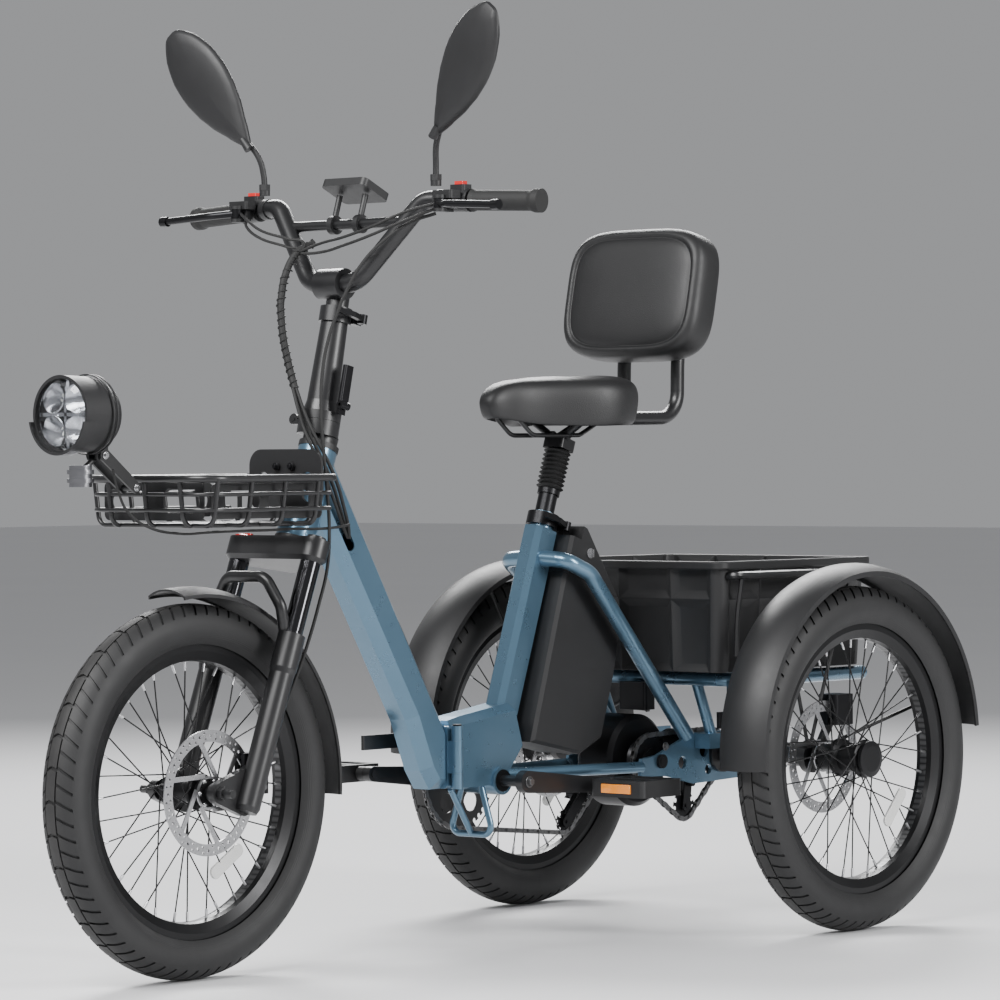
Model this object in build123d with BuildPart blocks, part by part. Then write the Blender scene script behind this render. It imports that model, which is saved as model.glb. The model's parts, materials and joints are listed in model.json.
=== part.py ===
from build123d import *
from math import cos, pi, radians, sin, tan
import os

# A folding electric tricycle for an adult, as separate pieces on real joints.
# Millimetres. +Z is up, the front wheel points to -Y and the rider's left is +X.
# The origin is on the ground under the middle of the machine's box.

os.makedirs("parts", exist_ok=True)

# --- driving dimensions ------------------------------------------------------
WHEEL_R = 269  # 20 inch wheel with a wide tyre
TYRE_HALF = 35
RIM_R, RIM_HALF = 210.5, 20
FRONT_AXLE_Y, REAR_AXLE_Y = -581, 541
HALF_TRACK = 341

CASTER = 21  # head tube's lean from upright, degrees
HEAD_TOP = (0, -307, 755)
HEAD_LENGTH, HEAD_R = 139, 29
STEERER_R = 14.3
LEG_X, LEG_FORWARD = 72, -28.2  # fork leg from the steering axis

POST_LEAN = 13
POST_FOOT = (0, -303, 797)  # middle of the handlepost's fold plane
POST_R, INNER_POST_R = 22, 17

HINGE_X, HINGE_Y = 40, -48.5  # upright pin that the frame folds on
HINGE_Z = (243, 266.5, 315.5, 338)  # ends of the three knuckles
BEAM_HALF, BEAM_CHAMFER = 31.5, 16

SEAT_LEAN = 19
SEAT_TOP = (0, 202, 655)  # top of the seat tube
SEAT_POST_R = 15

CRANK_Y, CRANK_Z, CRANK_LENGTH = 61, 249, 172
CHAIN_X, DRIVE_X = -57, 55  # planes of the two chains
MID_Y, MID_Z, MOTOR_R = 389, 262, 73
PITCH = 12.7
RING_TEETH, COG_TEETH = 38, 18
MID_TEETH, AXLE_TEETH = 20, 18

BAR_R, BAR_END_R = 14, 11.1
BAR_CLAMP = (0, -270, 1000)
RUN = 0.05  # radial clearance of a running fit
GAP = 0.2  # gap between pieces that lie face to face


# --- working planes -----------------------------------------------------------
def leaning(origin, lean):
    """A plane whose normal points up and leans back by the given degrees."""
    return Plane(origin=origin, x_dir=(1, 0, 0), z_dir=(0, sin(radians(lean)), cos(radians(lean))))


def across(x, y, z):
    """A plane whose normal is +X, with its own x axis pointing up."""
    return Plane(origin=(x, y, z), x_dir=(0, 0, 1), z_dir=(1, 0, 0))


STEER = leaning(HEAD_TOP, CASTER)
POST = leaning(POST_FOOT, POST_LEAN)
SEAT = leaning(SEAT_TOP, SEAT_LEAN)


def at(plane, u, v, w):
    """A point given in a plane's own axes."""
    return plane.from_local_coords(Vector(u, v, w))


def shifted(plane, u, v, w):
    """The same plane moved along its own axes."""
    return Plane(origin=at(plane, u, v, w), x_dir=plane.x_dir, z_dir=plane.z_dir)


# --- shapes used throughout ----------------------------------------------------
def bar(start, end, radius, mode=Mode.ADD):
    """A round bar from point to point."""
    run = Vector(end) - Vector(start)
    with BuildSketch(Plane(origin=start, z_dir=run)) as section:
        Circle(radius)
    extrude(section.sketch, amount=run.length, mode=mode)


def bent_bar(points, radius, bends, bore=0):
    """A round bar, or a pipe, of straight runs joined by tangent arcs."""
    with BuildLine() as path:
        FilletPolyline(*points, radius=bends)
    with BuildSketch(Plane(origin=path.line @ 0, z_dir=path.line % 0)) as section:
        Circle(radius)
        if bore:
            Circle(bore, mode=Mode.SUBTRACT)
    sweep(sections=section.sketch, path=path.line)


def turned(plane, points, arc=360, mode=Mode.ADD):
    """Points (radius, height) turned about the plane's normal."""
    upright = Plane(origin=plane.origin, x_dir=plane.x_dir, z_dir=plane.y_dir * -1)
    with BuildSketch(upright) as section:
        with BuildLine():
            Polyline(*points, close=True)
        make_face()
    revolve(section.sketch, axis=Axis(plane.origin, plane.z_dir), revolution_arc=arc, mode=mode)


def disc(plane, radius, thickness, bore=0, mode=Mode.ADD):
    """A round plate, or a ring, that grows along the plane's normal."""
    with BuildSketch(plane) as section:
        Circle(radius)
        if bore:
            Circle(bore, mode=Mode.SUBTRACT)
    extrude(section.sketch, amount=thickness, mode=mode)


def block(plane, u, v, w, mode=Mode.ADD, corner=0):
    """A box between pairs of limits along the plane's own axes."""
    low = shifted(plane, (u[0] + u[1]) / 2, (v[0] + v[1]) / 2, w[0])
    with BuildSketch(low) as section:
        if corner:
            RectangleRounded(u[1] - u[0], v[1] - v[0], corner)
        else:
            Rectangle(u[1] - u[0], v[1] - v[0])
    extrude(section.sketch, amount=w[1] - w[0], mode=mode)


def side_plate(points, low, high, holes=(), mode=Mode.ADD):
    """An outline in (y, z) with round holes (y, z, radius), between two x limits."""
    with BuildSketch(Plane.YZ.offset(low)) as outline:
        with BuildLine():
            Polyline(*points, close=True)
        make_face()
        for y, z, radius in holes:
            with Locations((y, z)):
                Circle(radius, mode=Mode.SUBTRACT)
    extrude(outline.sketch, amount=high - low, mode=mode)


def pitch_radius(teeth):
    return PITCH / (2 * sin(pi / teeth))


def sprocket(plane, teeth, thickness, bore, windows=0):
    """A toothed plate: a disc with a roller's seat between each pair of teeth."""
    radius = pitch_radius(teeth)
    with BuildSketch(plane) as outline:
        Circle(radius + 2.6)
        with PolarLocations(radius, teeth):
            Circle(3.95, mode=Mode.SUBTRACT)
        Circle(bore, mode=Mode.SUBTRACT)
        if windows:
            with PolarLocations(radius * 0.6, windows):
                Circle(radius * 0.2, mode=Mode.SUBTRACT)
    extrude(outline.sketch, amount=thickness / 2, both=True)


def finish(piece, name):
    """Labels a piece and writes it to its own file."""
    piece.part.label = name
    export_step(piece.part, f"parts/{name}.step")


# --- wheels ---------------------------------------------------------------------
HUB = {
    "front": {"flanges": (-26, 26), "flange_r": 27, "rotor": 43, "rotor_r": 90},
    "rear": {"flanges": (-22, 22), "flange_r": 30, "rotor": -58, "rotor_r": 88},
}
SPOKES = 36
SPOKE_R, NIPPLE_R = 1.1, 2.0
CROSSING = 60  # degrees that a spoke runs round the hub on its way to the rim


def tyre(centre, name):
    """A wide tyre: a round carcass, open at its beads."""
    crown = WHEEL_R - 33
    with BuildPart() as piece:
        section_plane = Plane(origin=centre, x_dir=(1, 0, 0), z_dir=(0, -1, 0))
        with BuildSketch(section_plane) as section:
            with Locations((0, crown)):
                Ellipse(TYRE_HALF, 33)
                Ellipse(TYRE_HALF - 5, 28, mode=Mode.SUBTRACT)
            with Locations((0, RIM_R - 40)):
                Rectangle(90, 80.2, mode=Mode.SUBTRACT)
        revolve(section.sketch, axis=Axis(centre, (1, 0, 0)))
    finish(piece, name)


def rim_and_spokes(centre, hub, name):
    """A single-wall rim and the crossed spokes that end just short of it."""
    plane = across(*centre)
    inner = RIM_R - 24.5
    half_section = [(RIM_R, 20), (RIM_R - 9, 20), (inner + 2, 14), (inner, 6)]
    well = [(RIM_R - 10.5, -8), (RIM_R - 6.5, -17), (RIM_R, -17)]
    with BuildPart() as piece:
        outline = half_section + [(r, -x) for r, x in reversed(half_section)]
        turned(plane, outline + [(r, x) for r, x in reversed(well)] + [(r, -x) for r, x in well])
        per_flange = SPOKES // 2
        for side, flange in ((-1, hub["flanges"][0]), (1, hub["flanges"][1])):
            for k in range(per_flange):
                turn = radians(360 / per_flange * k + (360 / SPOKES if side > 0 else 0))
                way = 1 if k % 2 else -1
                root_x = flange + side * 4.6 if k % 2 else flange - side * 4.6
                start_r, end_turn = hub["flange_r"] - 1.5, turn + way * radians(CROSSING)
                start = at(plane, start_r * cos(turn), start_r * sin(turn), root_x)
                end = at(plane, (inner - 0.3) * cos(end_turn), (inner - 0.3) * sin(end_turn), side * 3)
                bar(start, end, SPOKE_R)
                bar(start + (end - start) * 0.925, end, NIPPLE_R)
    finish(piece, name)


def rotor(plane, radius, bore):
    """A drilled brake rotor: a braking ring carried by slanted arms."""
    with BuildSketch(plane) as outline:
        Circle(radius)
        Circle(radius - 17, mode=Mode.SUBTRACT)
        for ring, size in ((radius - 4.5, 1.9), (radius - 8.5, 2.3), (radius - 12.7, 1.9)):
            with PolarLocations(ring, 24, start_angle=2 * (ring - radius)):
                Circle(size, mode=Mode.SUBTRACT)
        Circle(24)
        with PolarLocations(46, 6):
            with Locations(Rotation(0, 0, 32)):
                Rectangle(64, 7)
        Circle(bore, mode=Mode.SUBTRACT)
        with PolarLocations(bore + (24 - bore) * 0.55, 6):
            Circle(1.6, mode=Mode.SUBTRACT)
    extrude(outline.sketch, amount=1, both=True)


# --- front wheel ------------------------------------------------------------------
FRONT_HUB = (0, FRONT_AXLE_Y, WHEEL_R)
AXLE_R = 6
tyre(FRONT_HUB, "front_tyre")
rim_and_spokes(FRONT_HUB, HUB["front"], "front_rim")

with BuildPart() as front_hub:
    hub_axis = across(*FRONT_HUB)
    shell = [(18, -40), (18, -30), (27, -28), (27, -24), (16, -20), (16, 20), (27, 24), (27, 28)]
    shell += [(18, 30), (18, 36), (22, 37), (22, 41.8), (10, 41.8), (10, 50), (AXLE_R + RUN, 50)]
    turned(hub_axis, shell + [(AXLE_R + RUN, -50), (10, -50), (10, -40)])
    rotor(across(43, *FRONT_HUB[1:]), HUB["front"]["rotor_r"], 10.1)
finish(front_hub, "front_hub")

# --- fork --------------------------------------------------------------------------
CROWN_TOP, CROWN_DEPTH = -151, 34
LOWER_TOP, LOWER_END = -295, -563

with BuildPart() as fork_crown:
    bar(at(STEER, 0, 0, CROWN_TOP - 2), at(STEER, 0, 0, 24), STEERER_R)
    with BuildSketch(STEER.offset(CROWN_TOP - CROWN_DEPTH)) as crown_outline:
        Circle(26)
        with Locations((-LEG_X, LEG_FORWARD), (LEG_X, LEG_FORWARD)):
            Circle(22)
        make_hull()
    extrude(crown_outline.sketch, amount=CROWN_DEPTH)
    arms = fork_crown.edges().group_by(Axis(STEER.origin, STEER.z_dir))[0]
    chamfer(arms, 6)
    for side in (-1, 1):
        bore_foot = shifted(STEER, side * LEG_X, LEG_FORWARD, CROWN_TOP - CROWN_DEPTH)
        disc(bore_foot, 15.1, 24, mode=Mode.SUBTRACT)
    disc(shifted(STEER, LEG_X, LEG_FORWARD, CROWN_TOP), 14, 5)
    # foot of the handlepost: a collar on the steerer and the lower half of the fold
    disc(STEER.offset(9.5), 26, 14)
    disc(POST.offset(-22), 31, 22 - GAP)
    block(POST, (-45, -24), (-40, 40), (-30, 5), mode=Mode.SUBTRACT)
    for v in ((-22, -11.3), (11.3, 22)):
        block(POST, (-33, -20), v, (-8, -GAP))
        knuckle = Plane(origin=at(POST, -33, v[0], 0), x_dir=(1, 0, 0), z_dir=POST.y_dir)
        disc(knuckle, 8, v[1] - v[0])
    bar(at(POST, -33, -23, 0), at(POST, -33, 23, 0), 4, mode=Mode.SUBTRACT)
    bar(at(POST, -33, -23, 0), at(POST, -33, 23, 0), 4 - RUN)
finish(fork_crown, "fork_crown")

with BuildPart() as fork_stanchions:
    for side in (-1, 1):
        foot = shifted(STEER, side * LEG_X, LEG_FORWARD, -430)
        disc(foot, 15, CROWN_TOP - CROWN_DEPTH + 23.5 + 430)
finish(fork_stanchions, "fork_stanchions")

with BuildPart() as lock_dial:
    dial_foot = shifted(STEER, -LEG_X, LEG_FORWARD, CROWN_TOP + GAP)
    turned(dial_foot, [(0, 0), (16, 0), (16, 3.5), (13.5, 5), (0, 5)])
    with BuildSketch(shifted(dial_foot, 0, 0, 5)) as wing:
        RectangleRounded(26, 7, 3)
    extrude(wing.sketch, amount=4)
finish(lock_dial, "lock_dial")

with BuildPart() as fork_lowers:
    for side in (-1, 1):
        foot = shifted(STEER, side * LEG_X, LEG_FORWARD, LOWER_END)
        leg_length = LOWER_TOP - LOWER_END
        profile = [(0, 0), (15, 0), (18, 8), (18, leg_length - 60), (20, leg_length - 52)]
        turned(foot, profile + [(20, leg_length), (0, leg_length)])
        # lug that carries the axle ahead of the leg
        inner = side * 53.5
        with BuildSketch(Plane.YZ.offset(inner if side > 0 else inner - 13)) as lug:
            leg_low, leg_high = at(STEER, 0, LEG_FORWARD, -556), at(STEER, 0, LEG_FORWARD, -500)
            for point, size in ((Vector(*FRONT_HUB), 15), (leg_low, 12), (leg_high, 9)):
                with Locations((point.Y, point.Z)):
                    Circle(size)
            make_hull()
        extrude(lug.sketch, amount=13)
        disc(shifted(STEER, side * LEG_X, LEG_FORWARD, -520), 15 + RUN, 300, mode=Mode.SUBTRACT)
    bar((-90, *FRONT_HUB[1:]), (90, *FRONT_HUB[1:]), AXLE_R, mode=Mode.SUBTRACT)
    # brace over the mudguard, in one casting with the legs
    arch = [at(STEER, side * 66, v, w) for side, v, w in ((-1, -34, -300), (-1, -58, -262))]
    arch += [at(STEER, -38, -76, -224), at(STEER, 38, -76, -224)]
    arch += [at(STEER, 66, -58, -262), at(STEER, 66, -34, -300)]
    bent_bar(arch, 8.5, [20, 24, 24, 20])
    for side in (-1, 1):
        disc(shifted(STEER, side * LEG_X, LEG_FORWARD, -520), 15 + RUN, 300, mode=Mode.SUBTRACT)
    # the front axle with its two nuts
    bar((-92, *FRONT_HUB[1:]), (92, *FRONT_HUB[1:]), AXLE_R - RUN)
    for side in (-1, 1):
        nut = Plane(origin=(side * 67, *FRONT_HUB[1:]), z_dir=(side, 0, 0))
        with BuildSketch(nut) as nut_outline:
            RegularPolygon(10, 6)
        extrude(nut_outline.sketch, amount=9)
finish(fork_lowers, "fork_lowers")

MUDGUARD_R = 293
GUARD_SPAN = (-4, 98)  # degrees round the axle, from level behind it to past the top


def mudguard(centre, radius, half_width, first, last, lip):
    """A thin arched strip round a wheel, between two angles from level-behind."""
    start = Plane(
        origin=centre, x_dir=(0, cos(radians(first)), sin(radians(first))), z_dir=(1, 0, 0)
    )
    droop = 0.28 * half_width
    section = Plane(origin=centre, x_dir=(1, 0, 0), z_dir=start.x_dir.cross(Vector(1, 0, 0)) * -1)
    with BuildSketch(section) as strip:
        with BuildLine():
            top = ThreePointArc(
                (-half_width, radius - droop), (0, radius), (half_width, radius - droop)
            )
            Line(top @ 1, (half_width, radius - droop - lip))
            Line((half_width, radius - droop - lip), (half_width - 3, radius - droop - lip))
            under = ThreePointArc(
                (half_width - 3, radius - droop - 2),
                (0, radius - 3),
                (3 - half_width, radius - droop - 2),
            )
            Line((half_width - 3, radius - droop - lip), under @ 0)
            Line(under @ 1, (3 - half_width, radius - droop - lip))
            Line((3 - half_width, radius - droop - lip), (-half_width, radius - droop - lip))
            Line((-half_width, radius - droop - lip), top @ 0)
        make_face()
    revolve(strip.sketch, axis=Axis(centre, (1, 0, 0)), revolution_arc=last - first)


with BuildPart() as front_mudguard:
    mudguard(FRONT_HUB, MUDGUARD_R, TYRE_HALF + 2, *GUARD_SPAN, 5)
finish(front_mudguard, "front_mudguard")

with BuildPart() as front_caliper:
    reach = (FRONT_AXLE_Y + 62, FRONT_AXLE_Y + 115)
    block(Plane.XY, (29.5, 52.3), reach, (262, 322), corner=6)
    disc(across(40.6, *FRONT_HUB[1:]), 94, 4.8, mode=Mode.SUBTRACT)
finish(front_caliper, "front_caliper")

# --- front half of the frame ----------------------------------------------------------
BEAM_SIDE = [
    (-290, 735), (-322, 735), (-335.3, 672), (-138.2, 350), (-106, 272), (-86, HINGE_Z[0]),
    (-50, HINGE_Z[0]), (-50, 330),
]  # the beam seen from the side: down tube, knee and hinge face
PORT = (0, -276, 622)


def beam(inset, half, corner, mode=Mode.ADD):
    """The frame beam, or its hollow: the side outline with bevelled long edges."""
    for s in (-1, 1):
        with BuildSketch(Plane.YZ.offset(s * (half - corner))) as side:
            with BuildLine():
                Polyline(*BEAM_SIDE, close=True)
            make_face()
            if inset:
                offset(amount=-inset)
        extrude(side.sketch, amount=-s * (half - corner), mode=mode)
        extrude(side.sketch, amount=s * corner, taper=45, mode=mode)


with BuildPart() as front_frame:
    beam(0, BEAM_HALF, BEAM_CHAMFER)
    block(Plane.XY, (-32, 32), (HINGE_Y, -40), (240, 345), mode=Mode.SUBTRACT)
    disc(STEER.offset(-HEAD_LENGTH), HEAD_R, HEAD_LENGTH)
    beam(3, BEAM_HALF - 3, BEAM_CHAMFER - 2, mode=Mode.SUBTRACT)
    disc(STEER.offset(-HEAD_LENGTH), HEAD_R, HEAD_LENGTH)
    disc(STEER.offset(-HEAD_LENGTH), 19, HEAD_LENGTH, mode=Mode.SUBTRACT)
    with BuildSketch(Plane(origin=PORT, x_dir=(0, -0.52, 0.85), z_dir=(1, 0, 0))) as port:
        SlotOverall(34, 17)
    extrude(port.sketch, amount=40, mode=Mode.SUBTRACT)
    # hinge plate with the middle knuckle
    low, high = HINGE_Z[0], HINGE_Z[3]
    with BuildSketch(Plane.XZ.offset(60.5)) as plate:
        with Locations((-2, (low + high) / 2)):
            RectangleRounded(64, high - low, 8)
    extrude(plate.sketch, amount=-12)
    block(Plane.XY, (24, HINGE_X), (HINGE_Y - 9, HINGE_Y), (HINGE_Z[1] + GAP, HINGE_Z[2] - GAP))
    disc(Plane((HINGE_X, HINGE_Y, HINGE_Z[1] + GAP)), 9, HINGE_Z[2] - HINGE_Z[1] - 2 * GAP)
    bar((HINGE_X, HINGE_Y, 240), (HINGE_X, HINGE_Y, 340), 5, mode=Mode.SUBTRACT)
    block(Plane.XY, (-20, 20), (-372, -345), (690, 738))
    disc(STEER.offset(-HEAD_LENGTH), 19, HEAD_LENGTH, mode=Mode.SUBTRACT)
finish(front_frame, "front_frame")

PLATE_Y = -372
with BuildPart() as front_fittings:
    # head bearings: a cup at each end of the head tube
    for height, inside in ((0, -12), (-HEAD_LENGTH, 12)):
        outer = GAP if height == 0 else -GAP
        rim_end = 9 if height == 0 else -9
        cup = [(STEERER_R + RUN, inside), (18.9, inside), (18.9, outer), (30, outer)]
        cup += [(30, rim_end - outer), (STEERER_R + RUN, rim_end - outer)]
        turned(STEER.offset(height), cup)
    # plate behind the basket, with its two bolts
    with BuildSketch(Plane.XZ.offset(-PLATE_Y + GAP)) as plate:
        with Locations((0, 712)):
            RectangleRounded(146, 90, 24)
        with Locations((-44, 702), (44, 702)):
            SlotOverall(44, 20, rotation=90, mode=Mode.SUBTRACT)
    extrude(plate.sketch, amount=4)
    for x in (-15, 15):
        bar((x, PLATE_Y - 4, 732), (x, PLATE_Y - 9, 732), 6)
    # arm that carries the headlamp, from the basket's front
    for x in (-13, 13):
        with BuildSketch(Plane.YZ.offset(x - 2)) as arm:
            for y, z, size in ((-692, 704, 8), (-752, 750, 9)):
                with Locations((y, z)):
                    Circle(size)
            make_hull()
        extrude(arm.sketch, amount=4)
    bar((-16, -752, 750), (16, -752, 750), 4)
    bar((-11, -692, 704), (11, -692, 704), 5)
    # horn under the lamp
    bar((0, -752, 750), (0, -776, 734), 4)
    for step in range(5):
        disc(Plane((0, -786, 706 + step * 6)), 19 if step % 2 else 16, 6)
finish(front_fittings, "front_fittings")

BASKET_X, BASKET_Y, RAIL_Z, FLOOR_Z = 125, (-664, -392), 716, 650
with BuildPart() as basket_frame:
    back, front = BASKET_Y[1], BASKET_Y[0]
    rail = [(-60, back, RAIL_Z), (-BASKET_X, back, RAIL_Z), (-BASKET_X, front, RAIL_Z)]
    rail += [(-x, y, z) for x, y, z in reversed(rail)]
    bent_bar(rail, 5.5, [24, 40, 40, 24])
    for y in (-640, -572, -504, -436):
        hoop = [(-BASKET_X, y, RAIL_Z), (-BASKET_X + 10, y, FLOOR_Z)]
        bent_bar(hoop + [(BASKET_X - 10, y, FLOOR_Z), (BASKET_X, y, RAIL_Z)], 3.5, 16)
    for x in (-72, 0, 72):
        loop = [(x, front, RAIL_Z), (x, front + 8, FLOOR_Z), (x, back - 6, FLOOR_Z)]
        bent_bar(loop + [(x, back - 6, FLOOR_Z + 40)], 3.5, 16)
    for z in (672, 694):
        belt = [(-90, back - 8, z), (-BASKET_X + 3, back - 8, z), (-BASKET_X + 3, front + 4, z)]
        bent_bar(belt + [(-x, y, z) for x, y, z in reversed(belt)], 3, [18, 36, 36, 18])
finish(basket_frame, "basket_frame")

with BuildPart() as basket_panels:
    for y, half in ((back - 16, 104), (front + 22, 100)):
        with BuildSketch(Plane.XZ.offset(-y)) as panel:
            with Locations((0, 685)):
                RectangleRounded(2 * half, 56, 10)
            with Locations((-56, 685), (56, 685)):
                RectangleRounded(72, 34, 12, mode=Mode.SUBTRACT)
        extrude(panel.sketch, amount=2.5)
    for x in (-105, 103):
        with BuildSketch(Plane.YZ.offset(x)) as panel:
            with Locations(((back + front) / 2, 684)):
                RectangleRounded(212, 50, 10)
            with Locations(((back + front) / 2 - 52, 684), ((back + front) / 2 + 52, 684)):
                SlotOverall(88, 30, mode=Mode.SUBTRACT)
        extrude(panel.sketch, amount=2)
finish(basket_panels, "basket_panels")

LAMP = Plane(origin=(0, -740, 807), x_dir=(1, 0, 0), z_dir=(0, -1, 0))
with BuildPart() as headlamp:
    shell = [(0, 0), (26, 0), (44, 8), (53, 30), (55, 84), (50.5, 84), (49, 70), (49, 34)]
    turned(LAMP, shell + [(40, 16), (24, 5), (0, 5)])
    with BuildSketch(LAMP.offset(70)) as visor:
        Circle(57)
        Circle(53.5, mode=Mode.SUBTRACT)
        with Locations((0, 40)):
            Rectangle(140, 100, mode=Mode.SUBTRACT)
    extrude(visor.sketch, amount=21)
    for x in (-10, 6):
        block(Plane.XY, (x, x + 4), (-764, -742), (744, 770))
    bar((-12, -752, 750), (12, -752, 750), 4 + RUN, mode=Mode.SUBTRACT)
finish(headlamp, "headlamp")

with BuildPart() as headlamp_lens:
    turned(LAMP.offset(70), [(0, 0), (48.8, 0), (48.8, 8), (40, 13), (22, 17), (0, 18)])
finish(headlamp_lens, "headlamp_lens")

# --- handlepost and bars -----------------------------------------------------------------
POST_TOP = 150
with BuildPart() as handlepost:
    disc(POST.offset(GAP), 31, 13)
    block(POST, (-45, -24), (-40, 40), (0, 20), mode=Mode.SUBTRACT)
    block(POST, (-33, -20), (-11, 11), (GAP, 8))
    disc(Plane(origin=at(POST, -33, -11, 0), x_dir=(1, 0, 0), z_dir=POST.y_dir), 8, 22)
    bar(at(POST, -33, -23, 0), at(POST, -33, 23, 0), 4, mode=Mode.SUBTRACT)
    turned(POST, [(0, 13), (27, 13), (POST_R + 1, 30), (POST_R - 2, POST_TOP), (0, POST_TOP)])
    turned(POST, [(0, POST_TOP - 1), (24, POST_TOP - 1), (24, POST_TOP + 22), (0, POST_TOP + 22)])
    disc(POST.offset(24), INNER_POST_R + RUN, 300, mode=Mode.SUBTRACT)
    # ears for the height clamp's bolt
    for u in ((8, 20), (-20, -8)):
        block(POST, u, (20, 36), (POST_TOP + 3, POST_TOP + 19))
    bar(at(POST, -25, 28, POST_TOP + 11), at(POST, 21.8, 28, POST_TOP + 11), 3)
finish(handlepost, "handlepost")


def clamp_lever(plane, pivot, name, side=1):
    """A quick-release lever: an eye on its bolt and a curved flat handle."""
    with BuildPart() as lever:
        u, v, w = pivot
        disc(shifted(plane, u, v, w - 7), 7, 14)
        with BuildSketch(shifted(plane, u, v, w - 4)) as handle:
            with BuildLine():
                Polyline((-4, 0), (4, 0), (side * 9 + 5, -30), (side * 7 + 4, -62))
                Polyline((side * 7 + 4, -62), (side * 7 - 3, -62), (side * 9 - 4, -30), (-4, 0))
            make_face()
        extrude(handle.sketch, amount=8)
        disc(shifted(plane, u, v, w - 7.5), 2.5, 15, mode=Mode.SUBTRACT)
    finish(lever, name)


clamp_lever(POST, (29, 28, POST_TOP + 11), "post_clamp_lever")

LATCH_PIVOT = (44, 0, 24)
with BuildPart() as post_latch:
    axis_plane = Plane(origin=at(POST, 44, -9, 24), x_dir=(1, 0, 0), z_dir=POST.y_dir)
    disc(axis_plane, 6, 18)
    block(POST, (38, 46), (-9, 9), (24, 84), corner=3)
    block(POST, (38, 43), (-7, 7), (10, 24))
    bar(at(POST, 44, -10, 24), at(POST, 44, 10, 24), 2.5, mode=Mode.SUBTRACT)
finish(post_latch, "post_latch")

CLAMP_LOCAL = POST.to_local_coords(Vector(*BAR_CLAMP))
with BuildPart() as inner_post:
    disc(POST.offset(70), INNER_POST_R, CLAMP_LOCAL.Z - 70)
    bar((-24, *BAR_CLAMP[1:]), (24, *BAR_CLAMP[1:]), 23)
    bar((-26, *BAR_CLAMP[1:]), (26, *BAR_CLAMP[1:]), BAR_R + RUN, mode=Mode.SUBTRACT)
finish(inner_post, "inner_post")

BEND_X, BEND_Y, BEND_Z = 146, -232, 1119
END_X, END_Y, END_Z = 349, -203, 1112
with BuildPart() as handlebar:
    side = [(-BEND_X - 24, BEND_Y + 4, BEND_Z), (-BEND_X, BEND_Y, BEND_Z)]
    side += [(-46, *BAR_CLAMP[1:])]
    bent_bar(side + [(-x, y, z) for x, y, z in reversed(side)], BAR_R, [28, 44, 44, 28])
    for s in (-1, 1):
        bar((s * (BEND_X + 20), BEND_Y + 3.4, BEND_Z), (s * (END_X - 2), END_Y, END_Z), BAR_END_R)
    bar((-119, -240, 1089), (119, -240, 1089), 8)
finish(handlebar, "handlebar")


def on_bar(s, x):
    """A plane square to the bar's straight end, x millimetres from the middle."""
    start = Vector(s * (BEND_X + 20), BEND_Y + 3.4, BEND_Z)
    run = Vector(s * (END_X - 2), END_Y, END_Z) - start
    return Plane(origin=start + run * ((x - BEND_X - 20) / (END_X - BEND_X - 22)), z_dir=run)


with BuildPart() as grips:
    for s in (-1, 1):
        turned(on_bar(s, 232), [(BAR_END_R + RUN, 0), (17, 0), (15, 6), (15, 100), (17.5, 108)]
               + [(17.5, 118), (0, 118), (0, 116.5), (BAR_END_R + RUN, 116.5)])
finish(grips, "grips")

LEVER_PIVOT = (206, -264, 1112)
MIRROR_FOOT = (174, -236, 1147)
with BuildPart() as bar_controls:
    for s in (-1, 1):
        # brake perch with its reservoir and a switch pod
        disc(on_bar(s, 194), 17, 34, BAR_END_R + RUN)
        block(Plane.XY, sorted((s * 188, s * 226)), (-262, -238), (1119, 1131), corner=4)
        block(Plane.XY, sorted((s * 196, s * 222)), (-254, -238), (1104, 1120), corner=3)
        for z in (1099.5, 1119):
            disc(Plane((s * LEVER_PIVOT[0], LEVER_PIVOT[1], z)), 9, 5)
            block(Plane.XY, sorted((s * 200, s * 212)), (-260, -240), (z, z + 5))
        bar((s * 206, -264, 1099.5), (s * 206, -264, 1124), 3)
        # mirror clamp
        disc(on_bar(s, 170), 15.5, 12, BAR_END_R + 3 + RUN)
        bar((s * 174, -236, 1139), (s * 174, -236, 1146.8), 8)
        # horn and light switch housing
        block(Plane.XY, sorted((s * 196, s * 224)), (-232, -212), (1129, 1140), corner=4)
        pocket = sorted((s * 198, s * 222))
        block(Plane.XY, pocket, (-229, -215), (1136, 1141), mode=Mode.SUBTRACT)
        disc(on_bar(s, 190), BAR_END_R + RUN, 44, mode=Mode.SUBTRACT)
    # display on its two arms
    tray = Plane(origin=(0, -222, 1140), x_dir=(1, 0, 0), z_dir=(0, 0.42, 0.91))
    block(tray, (-44, 44), (-30, 30), (-6, 6), corner=8)
    for x in (-26, 26):
        bar((x, -238, 1102), (x, -228, 1133), 4.5)
        ring = Plane(origin=(x - 5, -240, 1089), z_dir=(1, 0, 0))
        disc(ring, 14, 10, 8 + RUN)
finish(bar_controls, "bar_controls")

for s, name in ((1, "brake_lever_left"), (-1, "brake_lever_right")):
    with BuildPart() as lever:
        px, py, pz = LEVER_PIVOT
        disc(Plane((s * px, py, 1104.8)), 8.5, 13.8)
        blade = [(s * (px + 4), py - 4, pz), (s * (px + 34), py - 22, pz - 3)]
        bent_bar(blade + [(s * 334, py - 24, pz - 8)], 5.5, [40])
        bar((s * 329, py - 24, pz - 8), (s * 342, py - 24, pz - 8), 7.5)
        bar((s * px, py, 1100), (s * px, py, 1122), 3 + RUN, mode=Mode.SUBTRACT)
    finish(lever, name)

for s, name in ((1, "light_switch"), (-1, "horn_switch")):
    with BuildPart() as switch:
        block(Plane.XY, sorted((s * 202, s * 218)), (-228, -216), (1139, 1145), corner=2)
    finish(switch, name)

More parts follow.
